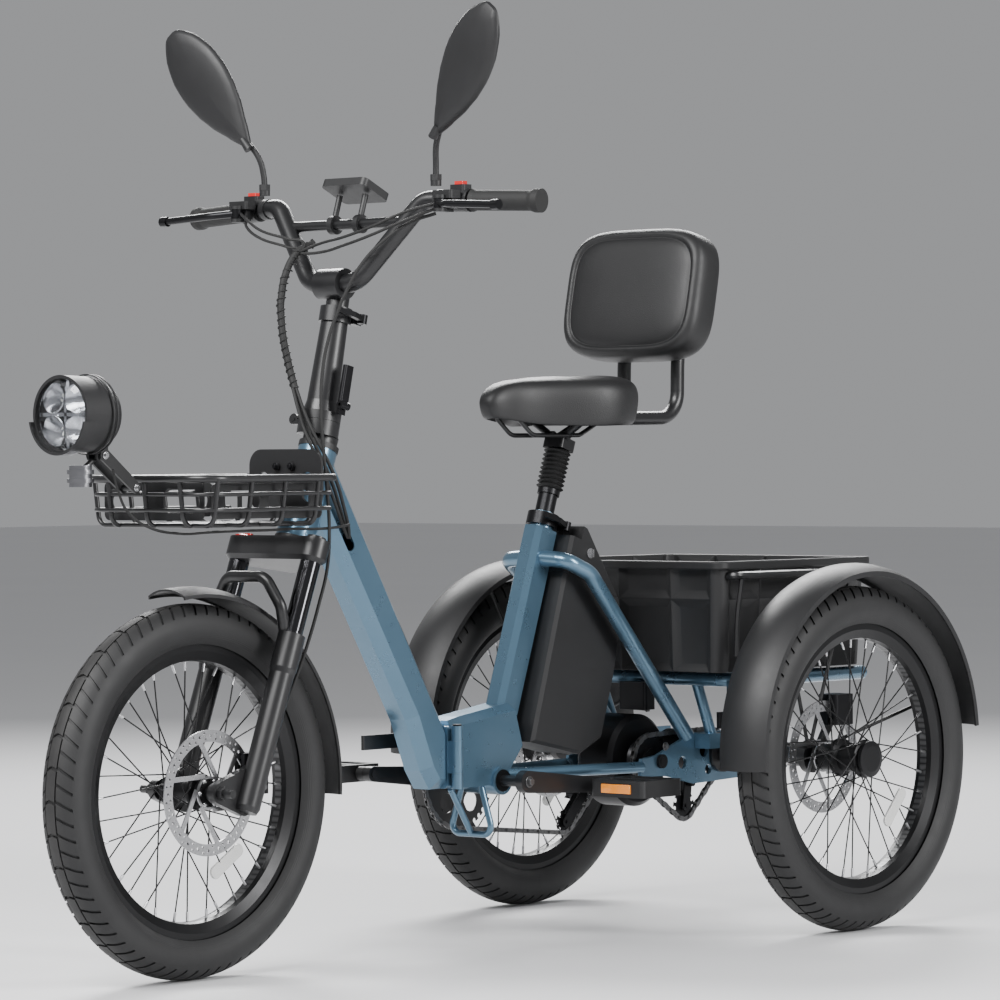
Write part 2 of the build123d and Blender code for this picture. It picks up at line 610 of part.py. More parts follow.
MIRROR_NECK, MIRROR_TIP = (197, -250, 1222), (314, -276, 1374)
for s, name in ((1, "mirror_left"), (-1, "mirror_right")):
    with BuildPart() as mirror_head:
        fx, fy, fz = MIRROR_FOOT
        neck = Vector(s * MIRROR_NECK[0], *MIRROR_NECK[1:])
        tip = Vector(s * MIRROR_TIP[0], *MIRROR_TIP[1:])
        disc(Plane((s * fx, fy, fz)), 7, 10)
        bent_bar([(s * fx, fy, fz + 6), (s * (fx + 2), fy - 4, fz + 34), neck], 4.5, [60])
        face = Plane(origin=neck, x_dir=tip - neck, z_dir=Vector(s * 0.1, 1, 0.08))
        with BuildSketch(face) as outline:
            for u, size in ((6, 12), (70, 36), (134, 48), (150, 44)):
                with Locations((u, 0)):
                    Circle(size)
            make_hull()
        extrude(outline.sketch, amount=-16, taper=18)
    finish(mirror_head, name)

# --- rear half of the frame ------------------------------------------------------------------
PLATE_X = 75
PLATE_SIDE = [
    (340, 240), (342, 268), (380, 272), (470, 303), (598, 303), (598, 226), (470, 222),
    (400, 238),
]
HOUSING_R, SHAFT_R = 17, 10
AXLE = (REAR_AXLE_Y, WHEEL_R)
CRANK_AXLE = (CRANK_Y, CRANK_Z)
TUBE_FOOT = -(SEAT_TOP[2] - CRANK_Z) / cos(radians(SEAT_LEAN))

with BuildPart() as rear_frame:
    block(SEAT, (-19, 19), (-25, 25), (TUBE_FOOT, -26))
    tube_edges = rear_frame.edges().filter_by(Axis(SEAT.origin, SEAT.z_dir))
    chamfer(tube_edges, 8)
    disc(SEAT.offset(-30), 19, 30)
    # box between the hinge and the seat tube
    box_side = [(-48.3, 243), (-48.3, 345), (-25, 350), (92, 366), (112, 300), (64, 243)]
    side_plate(box_side, -31, 31)
    top_edges = rear_frame.faces().filter_by(Axis.X).edges().filter_by(
        lambda e: 40 < e.length < 125 and (e @ 0.5).Z > 355 and abs((e % 0.5).Y) > 0.9
    )
    chamfer(top_edges, 12)
    hollow = [(-34, 247), (-34, 330), (66, 342), (66, 247)]
    side_plate(hollow, -26, 26, mode=Mode.SUBTRACT)
    block(Plane.XY, (-10, 10), (-12, 8), (240, 250), mode=Mode.SUBTRACT)
    block(Plane.XY, (-34, 30), (HINGE_Y + GAP + 0.3, -32), (HINGE_Z[0], HINGE_Z[3]))
    for low, high in ((HINGE_Z[0], HINGE_Z[1]), (HINGE_Z[2], HINGE_Z[3])):
        block(Plane.XY, (24, HINGE_X), (HINGE_Y + 0.5, HINGE_Y + 9), (low, high))
        disc(Plane((HINGE_X, HINGE_Y, low)), 9, high - low)
    bar((HINGE_X, HINGE_Y, 240), (HINGE_X, HINGE_Y, 340), 5, mode=Mode.SUBTRACT)
    # lugs and pin that the latch turns on
    for low, high in ((284, 291.8), (334.2, 340)):
        block(Plane.XY, (-50, -33), (-47.5, -36), (low, high))
    bar((-44, -42, 285), (-44, -42, 339), 3 - RUN)
    bar((-35, *CRANK_AXLE), (35, *CRANK_AXLE), 22)
    for s in (-1, 1):
        bar((s * 28, 75, 258), (s * PLATE_X, 345, 255), 9)
        low_x = s * PLATE_X - 3
        holes = [(443, 257, 10), (497, 273, 10), (508, 243, 8), (*AXLE, 12), (MID_Y, MID_Z, 6 + RUN)]
        side_plate(PLATE_SIDE, low_x, low_x + 6, holes)
        stay = [(s * 12, 177, 586), (s * 60, 184, 583), (s * 72, 226, 562), (s * 75, 458, 298)]
        bent_bar(stay, 12.5, [22, 40])
    bar((-40, *CRANK_AXLE), (40, *CRANK_AXLE), 17, mode=Mode.SUBTRACT)
    disc(SEAT.offset(-300), SEAT_POST_R + RUN, 310, mode=Mode.SUBTRACT)
finish(rear_frame, "rear_frame")

RACK_Z, RACK_Y, RACK_X = 390, 450, 186
with BuildPart() as rear_rack:
    loop = [(-RACK_X, 772, RACK_Z), (-RACK_X, RACK_Y, RACK_Z), (RACK_X, RACK_Y, RACK_Z)]
    bent_bar(loop + [(RACK_X, 772, RACK_Z)], 11, 44)
    bar((-RACK_X, 700, RACK_Z), (RACK_X, 700, RACK_Z), 9)
    for s in (-1, 1):
        bar((s * 100, RACK_Y, RACK_Z), (s * 98, 492, 298), 9)
        side_plate([(474, 278), (474, 302), (505, 302), (505, 278)],
                   *sorted((s * 78.2, s * 108)))
        block(Plane.XY, sorted((s * 172, s * 178)), (438, 464), (312, RACK_Z))
        # stay from the rail down to a clamp on the axle housing
        bar((s * RACK_X, REAR_AXLE_Y, RACK_Z), (s * RACK_X, REAR_AXLE_Y, 290), 9)
        clamp = Plane(origin=(s * RACK_X - 13, *AXLE), z_dir=(1, 0, 0))
        disc(clamp, 25, 26, HOUSING_R + GAP)
finish(rear_rack, "rear_rack")

with BuildPart() as axle_housing:
    for s in (-1, 1):
        start = Plane(origin=(s * 78.2, *AXLE), z_dir=(s, 0, 0))
        disc(start, 32, 6, SHAFT_R + 0.1)
        disc(start, HOUSING_R, 184, SHAFT_R + 0.1)
        disc(shifted(start, 0, 0, 174), 26, 12, SHAFT_R + 0.1)
        # foot that the brake caliper and the mudguard stays bolt to
        side_plate([(541, 262), (590, 330), (604, 322), (560, 262)],
                   *sorted((s * 253, s * 259)), [(*AXLE, SHAFT_R + 0.1)])
finish(axle_housing, "axle_housing")

with BuildPart() as rear_calipers:
    for s in (-1, 1):
        block(Plane.XY, sorted((s * 259.2, s * 297)), (557, 605), (318, 366), corner=7)
        disc(across(s * 283 - 2.4, *AXLE), 92, 4.8, mode=Mode.SUBTRACT)
        bar((s * 250, *AXLE), (s * 300, *AXLE), 40, mode=Mode.SUBTRACT)
finish(rear_calipers, "rear_calipers")

GUARD_R, GUARD_RISE, GUARD_HALF = 290, 15, 44
with BuildPart() as rear_mudguards:
    for s in (-1, 1):
        centre = (s * HALF_TRACK, REAR_AXLE_Y, WHEEL_R + GUARD_RISE)
        mudguard(centre, GUARD_R, GUARD_HALF, 5, 184, 8)
        edge_x = s * (HALF_TRACK - GUARD_HALF + 2)
        for turn, foot_y in ((14, 566), (80, 526), (118, 522), (172, 516)):
            # the stays run from the housing's end flange to the guard's inner lip
            end_y = centre[1] + (GUARD_R - 17) * cos(radians(turn))
            end_z = centre[2] + (GUARD_R - 17) * sin(radians(turn))
            bar((s * 268, foot_y, 284), (edge_x, end_y, end_z), 3)
finish(rear_mudguards, "rear_mudguards")

CRATE_X, CRATE_Y, CRATE_Z = 215, (372, 770), (403, 578)
with BuildPart() as rear_basket:
    depth = CRATE_Y[1] - CRATE_Y[0]
    middle = sum(CRATE_Y) / 2
    with BuildSketch(Plane.XY.offset(CRATE_Z[0])) as floor:
        with Locations((0, middle)):
            RectangleRounded(2 * CRATE_X - 24, depth - 24, 14)
    with BuildSketch(Plane.XY.offset(CRATE_Z[1])) as mouth:
        with Locations((0, middle)):
            RectangleRounded(2 * CRATE_X - 8, depth - 8, 18)
    loft([floor.sketch, mouth.sketch])
    with BuildSketch(Plane.XY.offset(CRATE_Z[1] - 14)) as collar:
        with Locations((0, middle)):
            RectangleRounded(2 * CRATE_X, depth, 20)
    extrude(collar.sketch, amount=14)
    with BuildSketch(Plane.XY.offset(CRATE_Z[0] + 4)) as inner_floor:
        with Locations((0, middle)):
            RectangleRounded(2 * CRATE_X - 31, depth - 31, 12)
    with BuildSketch(Plane.XY.offset(CRATE_Z[1] + 1)) as inner_mouth:
        with Locations((0, middle)):
            RectangleRounded(2 * CRATE_X - 15, depth - 15, 15)
    loft([inner_floor.sketch, inner_mouth.sketch], mode=Mode.SUBTRACT)
    for s in (-1, 1):
        grab = [(s * 206, 400, 556), (s * 224, 400, 556), (s * 224, 610, 556), (s * 206, 610, 556)]
        bent_bar(grab, 6, 12)
finish(rear_basket, "rear_basket")

BATTERY_SIDE = [
    (119, 305), (235, 280), (287, 303), (318, 400), (339, 492), (330, 522), (262, 626),
    (240, 637), (221, 634),
]
with BuildPart() as battery_case:
    side_plate(BATTERY_SIDE, -45, 45)
    edges = battery_case.faces().filter_by(Axis.X).edges()
    chamfer([e for e in edges if e.length > 30], 5)
    with BuildSketch(Plane(origin=(0, 236, 552), x_dir=(1, 0, 0), z_dir=(0, 0.33, 0.94))) as seam:
        Rectangle(120, 320)
    extrude(seam.sketch, amount=0.6, mode=Mode.SUBTRACT)
    bar((40, 258, 592), (46, 258, 592), 8.5, mode=Mode.SUBTRACT)
    # room for the seat clamp
    block(SEAT, (-46, 46), (0, 48), (-27, 20), mode=Mode.SUBTRACT)
finish(battery_case, "battery_case")

with BuildPart() as battery_key:
    bar((40.2, 258, 592), (47, 258, 592), 8)
    block(Plane.XY, (46.5, 53), (256.5, 259.5), (586, 598))
finish(battery_key, "battery_key")

with BuildPart() as folding_stand:
    loop = [(-20, 28, 240.8), (-44, 28, 168), (44, 28, 168), (20, 28, 240.8)]
    bent_bar(loop, 5, 14)
    bar((0, -20, 239.8), (0, 27, 169), 5)
finish(folding_stand, "folding_stand")

# --- seat ------------------------------------------------------------------------------------
CLAMP_W = (-22, -2)
POST_HEAD = 106  # along the seat tube, where the saddle's clamp sits
with BuildPart() as rear_fittings:
    # collar of the seat clamp
    disc(SEAT.offset(CLAMP_W[0]), 25, CLAMP_W[1] - CLAMP_W[0], 19 + GAP)
    for u in ((6, 16), (-16, -6)):
        block(SEAT, u, (22, 36), CLAMP_W)
    bar(at(SEAT, -21, 29, -12), at(SEAT, 17.3, 29, -12), 3)
    # bottom bracket bearings
    for s in (-1, 1):
        disc(Plane(origin=(s * 24, *CRANK_AXLE), z_dir=(s, 0, 0)), 16.9, 12, 8.5 + RUN)
    # the hub motor's fixed axle, and the frame's hinge pin
    bar((-84, MID_Y, MID_Z), (84, MID_Y, MID_Z), 6)
    for s in (-1, 1):
        disc(Plane(origin=(s * 78.2, MID_Y, MID_Z), z_dir=(s, 0, 0)), 11, 5)
    bar((HINGE_X, HINGE_Y, 242.5), (HINGE_X, HINGE_Y, 339.5), 5 - RUN)
    disc(Plane((HINGE_X, HINGE_Y, 338 + GAP)), 7, 2.4)
    # motor controller behind the battery
    block(Plane.XY, (-28, 28), (412, 438.6), (340, 384), corner=5)
    # brackets between the rack's struts and the mudguards' inner edge
    for s in (-1, 1):
        block(Plane.XY, sorted((s * 178.2, s * 184)), (404, 462), (316, 342), corner=1)
finish(rear_fittings, "rear_fittings")

clamp_lever(SEAT, (24.5, 29, -12), "seat_clamp_lever")

with BuildPart() as seat_post:
    disc(SEAT.offset(-150), SEAT_POST_R, 180)
    disc(SEAT.offset(30), 17.5, 8)
    disc(SEAT.offset(-95), 11 + RUN, 200, mode=Mode.SUBTRACT)
finish(seat_post, "seat_post")

with BuildPart() as seat_bellows:
    ribs = 7
    pitch = (POST_HEAD - 2.5 - 38.3) / ribs
    outer = []
    for k in range(ribs):
        outer += [(17, 38.3 + pitch * (k + 0.06)), (21.5, 38.3 + pitch * (k + 0.5))]
        outer += [(17, 38.3 + pitch * (k + 0.94))]
    turned(SEAT, [(13, 38.3), *outer, (13, POST_HEAD - 2.5)])
finish(seat_bellows, "seat_bellows")

PAD = Plane(origin=(0, 440, 998), x_dir=(1, 0, 0), z_dir=(0, cos(radians(12)), -sin(radians(12))))
with BuildPart() as seat_frame:
    disc(SEAT.offset(-38), 11, POST_HEAD + 36)
    block(SEAT, (-20, 20), (-17, 17), (POST_HEAD - 2.2, POST_HEAD + 16), corner=5)
    for s in (-1, 1):
        rail = [(s * 22, 112, 806), (s * 22, 150, 776), (s * 22, 262, 776), (s * 22, 330, 806)]
        bent_bar(rail, 3.6, 30)
        bar((s * 8, 236, 776), (s * 22, 236, 776), 7)
        bar((s * 22, 236, 780), (s * 55, 236, 800), 6)
        upright = [(s * 55, 226, 801), (s * 55, 463, 803), (s * 55, 465, 896)]
        bent_bar(upright + [(s * 55, 485, 1000)], 11, [42, 200])
    with BuildSketch(PAD.offset(31)) as plate:
        RectangleRounded(170, 120, 20)
    extrude(plate.sketch, amount=3)
finish(seat_frame, "seat_frame")

with BuildPart() as backrest_pad:
    with BuildSketch(PAD.offset(-30)) as cushion:
        RectangleRounded(277, 211, 58)
    extrude(cushion.sketch, amount=60)
    fillet(backrest_pad.edges().filter_by(GeomType.CIRCLE), 12)
finish(backrest_pad, "backrest_pad")

SADDLE_HALF = [
    (0, 62), (24, 76), (34, 150), (66, 215), (108, 268), (112, 318), (70, 354), (0, 362),
]
with BuildPart() as saddle:
    for z, grow in ((816, 0.9), (836, 1), (856, 0.97), (866, 0.86)):
        with BuildSketch(Plane.XY.offset(z)) as layer:
            with BuildLine():
                half = Spline(*[(x * grow, 212 + (y - 212) * grow) for x, y in SADDLE_HALF])
                mirror(half, about=Plane.YZ)
            make_face()
    loft()
finish(saddle, "saddle")

# --- drive -------------------------------------------------------------------------------------
with BuildPart() as crankset:
    bar((-88, *CRANK_AXLE), (88, *CRANK_AXLE), 8.5)
    sprocket(across(CHAIN_X, *CRANK_AXLE), RING_TEETH, 2.4, 22, 5)
    disc(across(CHAIN_X - 2, *CRANK_AXLE), 24, 4, 8)
    disc(across(CHAIN_X - 14, *CRANK_AXLE), 16, 14, 8)
    for s in (-1, 1):
        lean = radians(-5)
        tip = (CRANK_Y + s * CRANK_LENGTH * cos(lean), CRANK_Z + s * CRANK_LENGTH * sin(lean))
        with BuildSketch(Plane.YZ.offset(74 if s > 0 else -88)) as arm:
            for point, size in ((CRANK_AXLE, 17), (tip, 11.5)):
                with Locations(point):
                    Circle(size)
            make_hull()
            with Locations(tip):
                Circle(6, mode=Mode.SUBTRACT)
        extrude(arm.sketch, amount=14)
finish(crankset, "crankset")

PEDAL_TIP = {s: (CRANK_Y + s * CRANK_LENGTH * cos(radians(-5)),
                 CRANK_Z + s * CRANK_LENGTH * sin(radians(-5))) for s in (-1, 1)}
for s, name in ((1, "pedal_left"), (-1, "pedal_right")):
    with BuildPart() as pedal:
        y, z = PEDAL_TIP[s]
        bar((s * 73, y, z), (s * 206, y, z), 6 - RUN)
        disc(Plane(origin=(s * 89, y, z), z_dir=(s, 0, 0)), 11, 14)
        block(Plane.XY, sorted((s * 105, s * 210)), (y - 48, y + 48), (z - 13, z + 13), corner=8)
        for v in (-1, 1):
            block(Plane.XY, sorted((s * 118, s * 198)), (y + v * 24 - 13, y + v * 24 + 13),
                  (z - 14, z + 14), mode=Mode.SUBTRACT, corner=5)
        bar((s * 106, y, z), (s * 209, y, z), 9)
    finish(pedal, name)

COG_SIZES = (28, 24, 22, COG_TEETH, 16, 14)
with BuildPart() as cassette:
    for k, teeth in enumerate(COG_SIZES):
        sprocket(across(-42 - 5 * k, MID_Y, MID_Z), teeth, 1.8, 17 + RUN)
    turned(across(0, MID_Y, MID_Z), [(17 + RUN, -69), (21, -69), (21, -41.1), (17 + RUN, -41.1)])
finish(cassette, "cassette")

with BuildPart() as hub_motor:
    shell = [(6 + RUN, -70), (17, -70), (17, -40.5), (30, -40.5), (34, -36), (66, -34), (MOTOR_R, -27)]
    shell += [(MOTOR_R, 27), (66, 34), (34, 36), (30, 44), (20, 44), (20, 60), (6 + RUN, 60)]
    turned(across(0, MID_Y, MID_Z), shell)
    sprocket(across(DRIVE_X, MID_Y, MID_Z), MID_TEETH, 2.4, 19, 0)
finish(hub_motor, "hub_motor")

with BuildPart() as rear_axle:
    carrier = [(SHAFT_R + 0.1, -40), (20, -40), (34, -30), (34, 30), (20, 40), (16, 44), (16, 66)]
    turned(across(0, *AXLE), carrier + [(SHAFT_R + 0.1, 66)])
    sprocket(across(DRIVE_X, *AXLE), AXLE_TEETH, 2.4, 15, 0)
finish(rear_axle, "rear_axle")


def chain_loop(plane_x, wheels):
    """Both side plates of a chain that runs round the given wheels (y, z, radius)."""
    for low in (plane_x + 1.6, plane_x - 3.0):
        with BuildSketch(Plane.YZ.offset(low)) as outside:
            for y, z, radius in wheels:
                with Locations((y, z)):
                    Circle(radius + 4)
            make_hull()
        with BuildSketch(Plane.YZ.offset(low)) as inside:
            for y, z, radius in wheels:
                with Locations((y, z)):
                    Circle(radius - 4)
            make_hull()
        extrude(outside.sketch - inside.sketch, amount=1.4)


TENSION = (473, 186)
LOWER_PULLEY, UPPER_PULLEY = (312, 165), (352, 206)
with BuildPart() as chains:
    chain_loop(CHAIN_X, [(*CRANK_AXLE, pitch_radius(RING_TEETH)),
                         (MID_Y, MID_Z, pitch_radius(COG_TEETH)), (*LOWER_PULLEY, 17)])
    chain_loop(DRIVE_X, [(MID_Y, MID_Z, pitch_radius(MID_TEETH)),
                         (*AXLE, pitch_radius(AXLE_TEETH)), (*TENSION, 22)])
finish(chains, "chains")

with BuildPart() as derailleur:
    # both chain guides: the derailleur on the right, the tensioner on the left
    for x, spots, size in ((CHAIN_X, (LOWER_PULLEY,), 14), (DRIVE_X, (TENSION,), 19)):
        for y, z in spots:
            sprocket(across(x, y, z), 8 if size < 16 else 11, 2, 3.1)
            bar((x - 8, y, z), (x + 8, y, z), 3)
        for low in (x - 6.5, x + 4.5):
            with BuildSketch(Plane.YZ.offset(low)) as cage:
                tops = (UPPER_PULLEY if size < 16 else (478, 222),)
                for y, z in (*spots, *tops):
                    with Locations((y, z)):
                        Circle(9)
                make_hull()
            extrude(cage.sketch, amount=2)
    bar((CHAIN_X - 4.5, *UPPER_PULLEY), (-83, *UPPER_PULLEY), 6)
    side_plate([(344, 200), (380, 242), (396, 242), (364, 196)], -84.5, -80)
    bar((DRIVE_X + 4.5, 478, 222), (71.8, 478, 222), 5)
finish(derailleur, "derailleur")

# --- rear wheels ---------------------------------------------------------------------------------
for s, side_name in ((1, "left"), (-1, "right")):
    centre = (s * HALF_TRACK, REAR_AXLE_Y, WHEEL_R)
    tyre(centre, f"rear_tyre_{side_name}")
    rim_and_spokes(centre, HUB["rear"], f"rear_rim_{side_name}")
    with BuildPart() as rear_hub:
        outward = Plane(origin=(0, *AXLE), x_dir=(0, 0, 1), z_dir=(s, 0, 0))
        profile = [(0, 6), (SHAFT_R, 6), (SHAFT_R, 272), (20, 274), (20, 281.8), (16, 281.8)]
        profile += [(16, 284.2), (20, 284.2), (22, 312), (30, 317), (30, 321), (21, 325), (21, 357)]
        profile += [(30, 361), (30, 365), (24, 368), (28, 372), (28, 377), (20, 379), (0, 379)]
        turned(outward, profile)
        rotor(across(s * 283, *AXLE), HUB["rear"]["rotor_r"], 16.1)
    finish(rear_hub, f"rear_hub_{side_name}")

# --- latch and cables ------------------------------------------------------------------------------
with BuildPart() as frame_latch:
    disc(Plane((-44, -42, 292)), 7, 42)
    block(Plane.XY, (-51, -45), (-165, -42), (304, 326), corner=2.5)
    bar((-44, -42, 290), (-44, -42, 336), 3, mode=Mode.SUBTRACT)
finish(frame_latch, "frame_latch")


def cable(route, radius, name):
    """A cable's tube, with each arc as large as its two runs allow."""
    points = [Vector(*p) for p in route]
    bends = []
    for before, here, after in zip(points, points[1:], points[2:]):
        turn = (here - before).get_angle(after - here)
        shorter = min((here - before).length, (after - here).length)
        bends.append(0.45 * shorter / tan(radians(turn) / 2))
    print(name, "smallest radius", round(min(bends)))
    bent_bar(route, radius, bends)


BUNDLE = [
    (-34, -276, 1062), (-42, -303, 1048), (-47, -325, 1012), (-46, -336, 970), (-40, -338, 926),
    (-30, -337, 884), (-14, -340, 846), (8, -347, 812), (30, -351, 780), (45, -341, 744),
    (49, -322, 706), (47, -306, 672), (41, -290, 644), (34, -278, 626),
]
HOSE = [
    (188, -252, 1098), (162, -276, 1086), (130, -300, 1060), (98, -318, 1022), (74, -332, 972),
    (58, -344, 916), (52, -352, 858), (52, -354, 800), (55, -351, 744), (60, -350, 690),
    (66, -353, 636), (69, -361, 584), (70, -381, 530), (69, -402, 478), (66, -424, 428),
    (60, -446, 382), (50, -462, 350), (42, -472, 325.5),
]
LAMP_LEAD = [
    (52, -296, 646), (60, -326, 643), (61, -372, 641), (63, -424, 642), (64, -480, 641),
    (63, -536, 641), (60, -592, 640), (50, -644, 639), (34, -686, 648), (20, -714, 670),
    (19, -732, 700), (21, -744, 730),
]
with BuildPart() as control_cables:
    cable(BUNDLE, 5.5, "bundle")
    cable(HOSE, 2.5, "hose")
    cable(LAMP_LEAD, 2, "lamp lead")
finish(control_cables, "control_cables")
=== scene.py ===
import json
import math

import bmesh
import bpy
from mathutils import Matrix, Vector
from mathutils.geometry import convex_hull_2d


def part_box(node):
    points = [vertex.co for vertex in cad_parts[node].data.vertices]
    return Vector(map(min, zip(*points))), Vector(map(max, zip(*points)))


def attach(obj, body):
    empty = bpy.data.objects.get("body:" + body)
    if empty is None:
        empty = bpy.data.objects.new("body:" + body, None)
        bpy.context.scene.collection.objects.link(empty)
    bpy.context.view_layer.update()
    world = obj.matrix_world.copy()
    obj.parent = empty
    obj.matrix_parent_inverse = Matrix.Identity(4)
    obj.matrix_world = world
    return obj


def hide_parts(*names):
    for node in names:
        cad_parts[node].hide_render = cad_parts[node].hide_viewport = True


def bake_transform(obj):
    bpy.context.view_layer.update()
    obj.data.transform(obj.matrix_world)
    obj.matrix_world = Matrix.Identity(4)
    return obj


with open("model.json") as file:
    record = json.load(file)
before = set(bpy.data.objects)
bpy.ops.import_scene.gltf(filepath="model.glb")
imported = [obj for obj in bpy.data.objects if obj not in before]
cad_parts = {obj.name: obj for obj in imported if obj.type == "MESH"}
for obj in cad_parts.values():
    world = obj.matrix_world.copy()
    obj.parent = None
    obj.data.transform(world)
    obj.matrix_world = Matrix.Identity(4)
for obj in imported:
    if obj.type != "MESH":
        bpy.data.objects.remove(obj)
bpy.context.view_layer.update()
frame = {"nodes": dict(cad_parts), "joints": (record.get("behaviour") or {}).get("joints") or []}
nodes = frame["nodes"]
joints = {joint["name"]: joint for joint in frame["joints"]}
print("frame loaded with", len(nodes), "nodes")

frontAxle = Vector((0, *joints["front_wheel_spin"]["pos_m"][1:]))
rearAxle = Vector((0, *joints["rear_wheel_left_spin"]["pos_m"][1:]))
halfTrack = joints["rear_wheel_left_spin"]["pos_m"][0]


class Value:
    # a number socket that can be used in plain arithmetic
    def __init__(self, shade, socket):
        self.shade, self.socket = shade, socket

    def maths(self, operation, *others):
        sockets = [o.socket if isinstance(o, Value) else o for o in (self, *others)]
        return self.shade.number("ShaderNodeMath", {"operation": operation}, *sockets)

    def __add__(self, other):
        return self.maths("ADD", other)

    def __radd__(self, other):
        return self.maths("ADD", other)

    def __sub__(self, other):
        return self.maths("SUBTRACT", other)

    def __rsub__(self, other):
        return self.maths("MULTIPLY", -1).maths("ADD", other)

    def __mul__(self, other):
        return self.maths("MULTIPLY", other)

    def __rmul__(self, other):
        return self.maths("MULTIPLY", other)

    def __pow__(self, other):
        return self.maths("POWER", other)

    def over(self, limit, soft=0.0002):
        # 0 below the limit, 1 above it
        return self.shade.number(
            "ShaderNodeMapRange", {}, self.socket, limit - soft, limit + soft, 0.0, 1.0
        )

    def between(self, low, high, soft=0.0002):
        return self.over(low, soft) * (1 - self.over(high, soft))


class Shade:
    # one material's node tree
    def __init__(self, name):
        self.material = bpy.data.materials.new(name)
        self.material.use_nodes = True
        self.tree = self.material.node_tree
        self.shader = self.tree.nodes["Principled BSDF"]
        self.place = self.node("ShaderNodeTexCoord", {}).outputs["Object"]

    def node(self, kind, settings, *inputs, **named):
        made = self.tree.nodes.new(kind)
        for key, value in settings.items():
            setattr(made, key, value)
        pairs = list(zip(made.inputs, inputs))
        pairs += [(made.inputs[key.replace("_", " ")], value) for key, value in named.items()]
        for socket, value in pairs:
            if isinstance(value, Value):
                value = value.socket
            if isinstance(value, bpy.types.NodeSocket):
                self.tree.links.new(value, socket)
            elif value is not None:
                socket.default_value = value
        return made

    def number(self, kind, settings, *inputs, **named):
        return Value(self, self.node(kind, settings, *inputs, **named).outputs[0])

    def noise(self, scale, detail=3.0, rough=0.5):
        made = self.node(
            "ShaderNodeTexNoise", {}, Vector=self.place, Scale=scale, Detail=detail, Roughness=rough
        )
        return Value(self, made.outputs["Fac"])

    def cells(self, scale, feature="DISTANCE_TO_EDGE"):
        made = self.node("ShaderNodeTexVoronoi", {"feature": feature}, Vector=self.place, Scale=scale)
        return Value(self, made.outputs["Distance"])

    def axes(self):
        split = self.node("ShaderNodeSeparateXYZ", {}, self.place)
        return [Value(self, output) for output in split.outputs]

    def mix(self, amount, first, second):
        made = self.node("ShaderNodeMix", {"data_type": "RGBA"})
        for index, value in ((0, amount), (6, first), (7, second)):
            if isinstance(value, Value):
                value = value.socket
            if isinstance(value, bpy.types.NodeSocket):
                self.tree.links.new(value, made.inputs[index])
            else:
                made.inputs[index].default_value = value if index == 0 else (*value, 1)
        return made.outputs[2]

    def put(self, socket, value):
        target = self.shader.inputs[socket]
        if isinstance(value, Value):
            value = value.socket
        if isinstance(value, bpy.types.NodeSocket):
            self.tree.links.new(value, target)
        else:
            target.default_value = (*value, 1) if isinstance(value, tuple) else value

    def bump(self, height, depth):
        made = self.node("ShaderNodeBump", {}, Strength=1.0, Distance=depth, Height=height)
        self.put("Normal", made.outputs["Normal"])


def surface(name, look):
    # every finish has a colour that drifts, an uneven polish and a fine grain
    shade = Shade(name)
    drift = shade.noise(look.get("driftScale", 6), 4.0)
    shade.put("Base Color", shade.mix(drift, look["dark"], look["light"]))
    smear = shade.noise(look.get("smearScale", 35), 5.0, 0.65)
    low, high = look["rough"]
    shade.put("Roughness", smear * (high - low) + low)
    shade.put("Metallic", look.get("metal", 0.0))
    for socket, value in look.get("sockets", {}).items():
        shade.put(socket, value)
    if look.get("grainKind") == "cells":
        grain = shade.cells(look["grain"]) + shade.noise(look["grain"] * 2.2) * 0.25
    else:
        grain = shade.noise(look["grain"], 2.0)
    shade.bump(grain, look["depth"])
    return shade


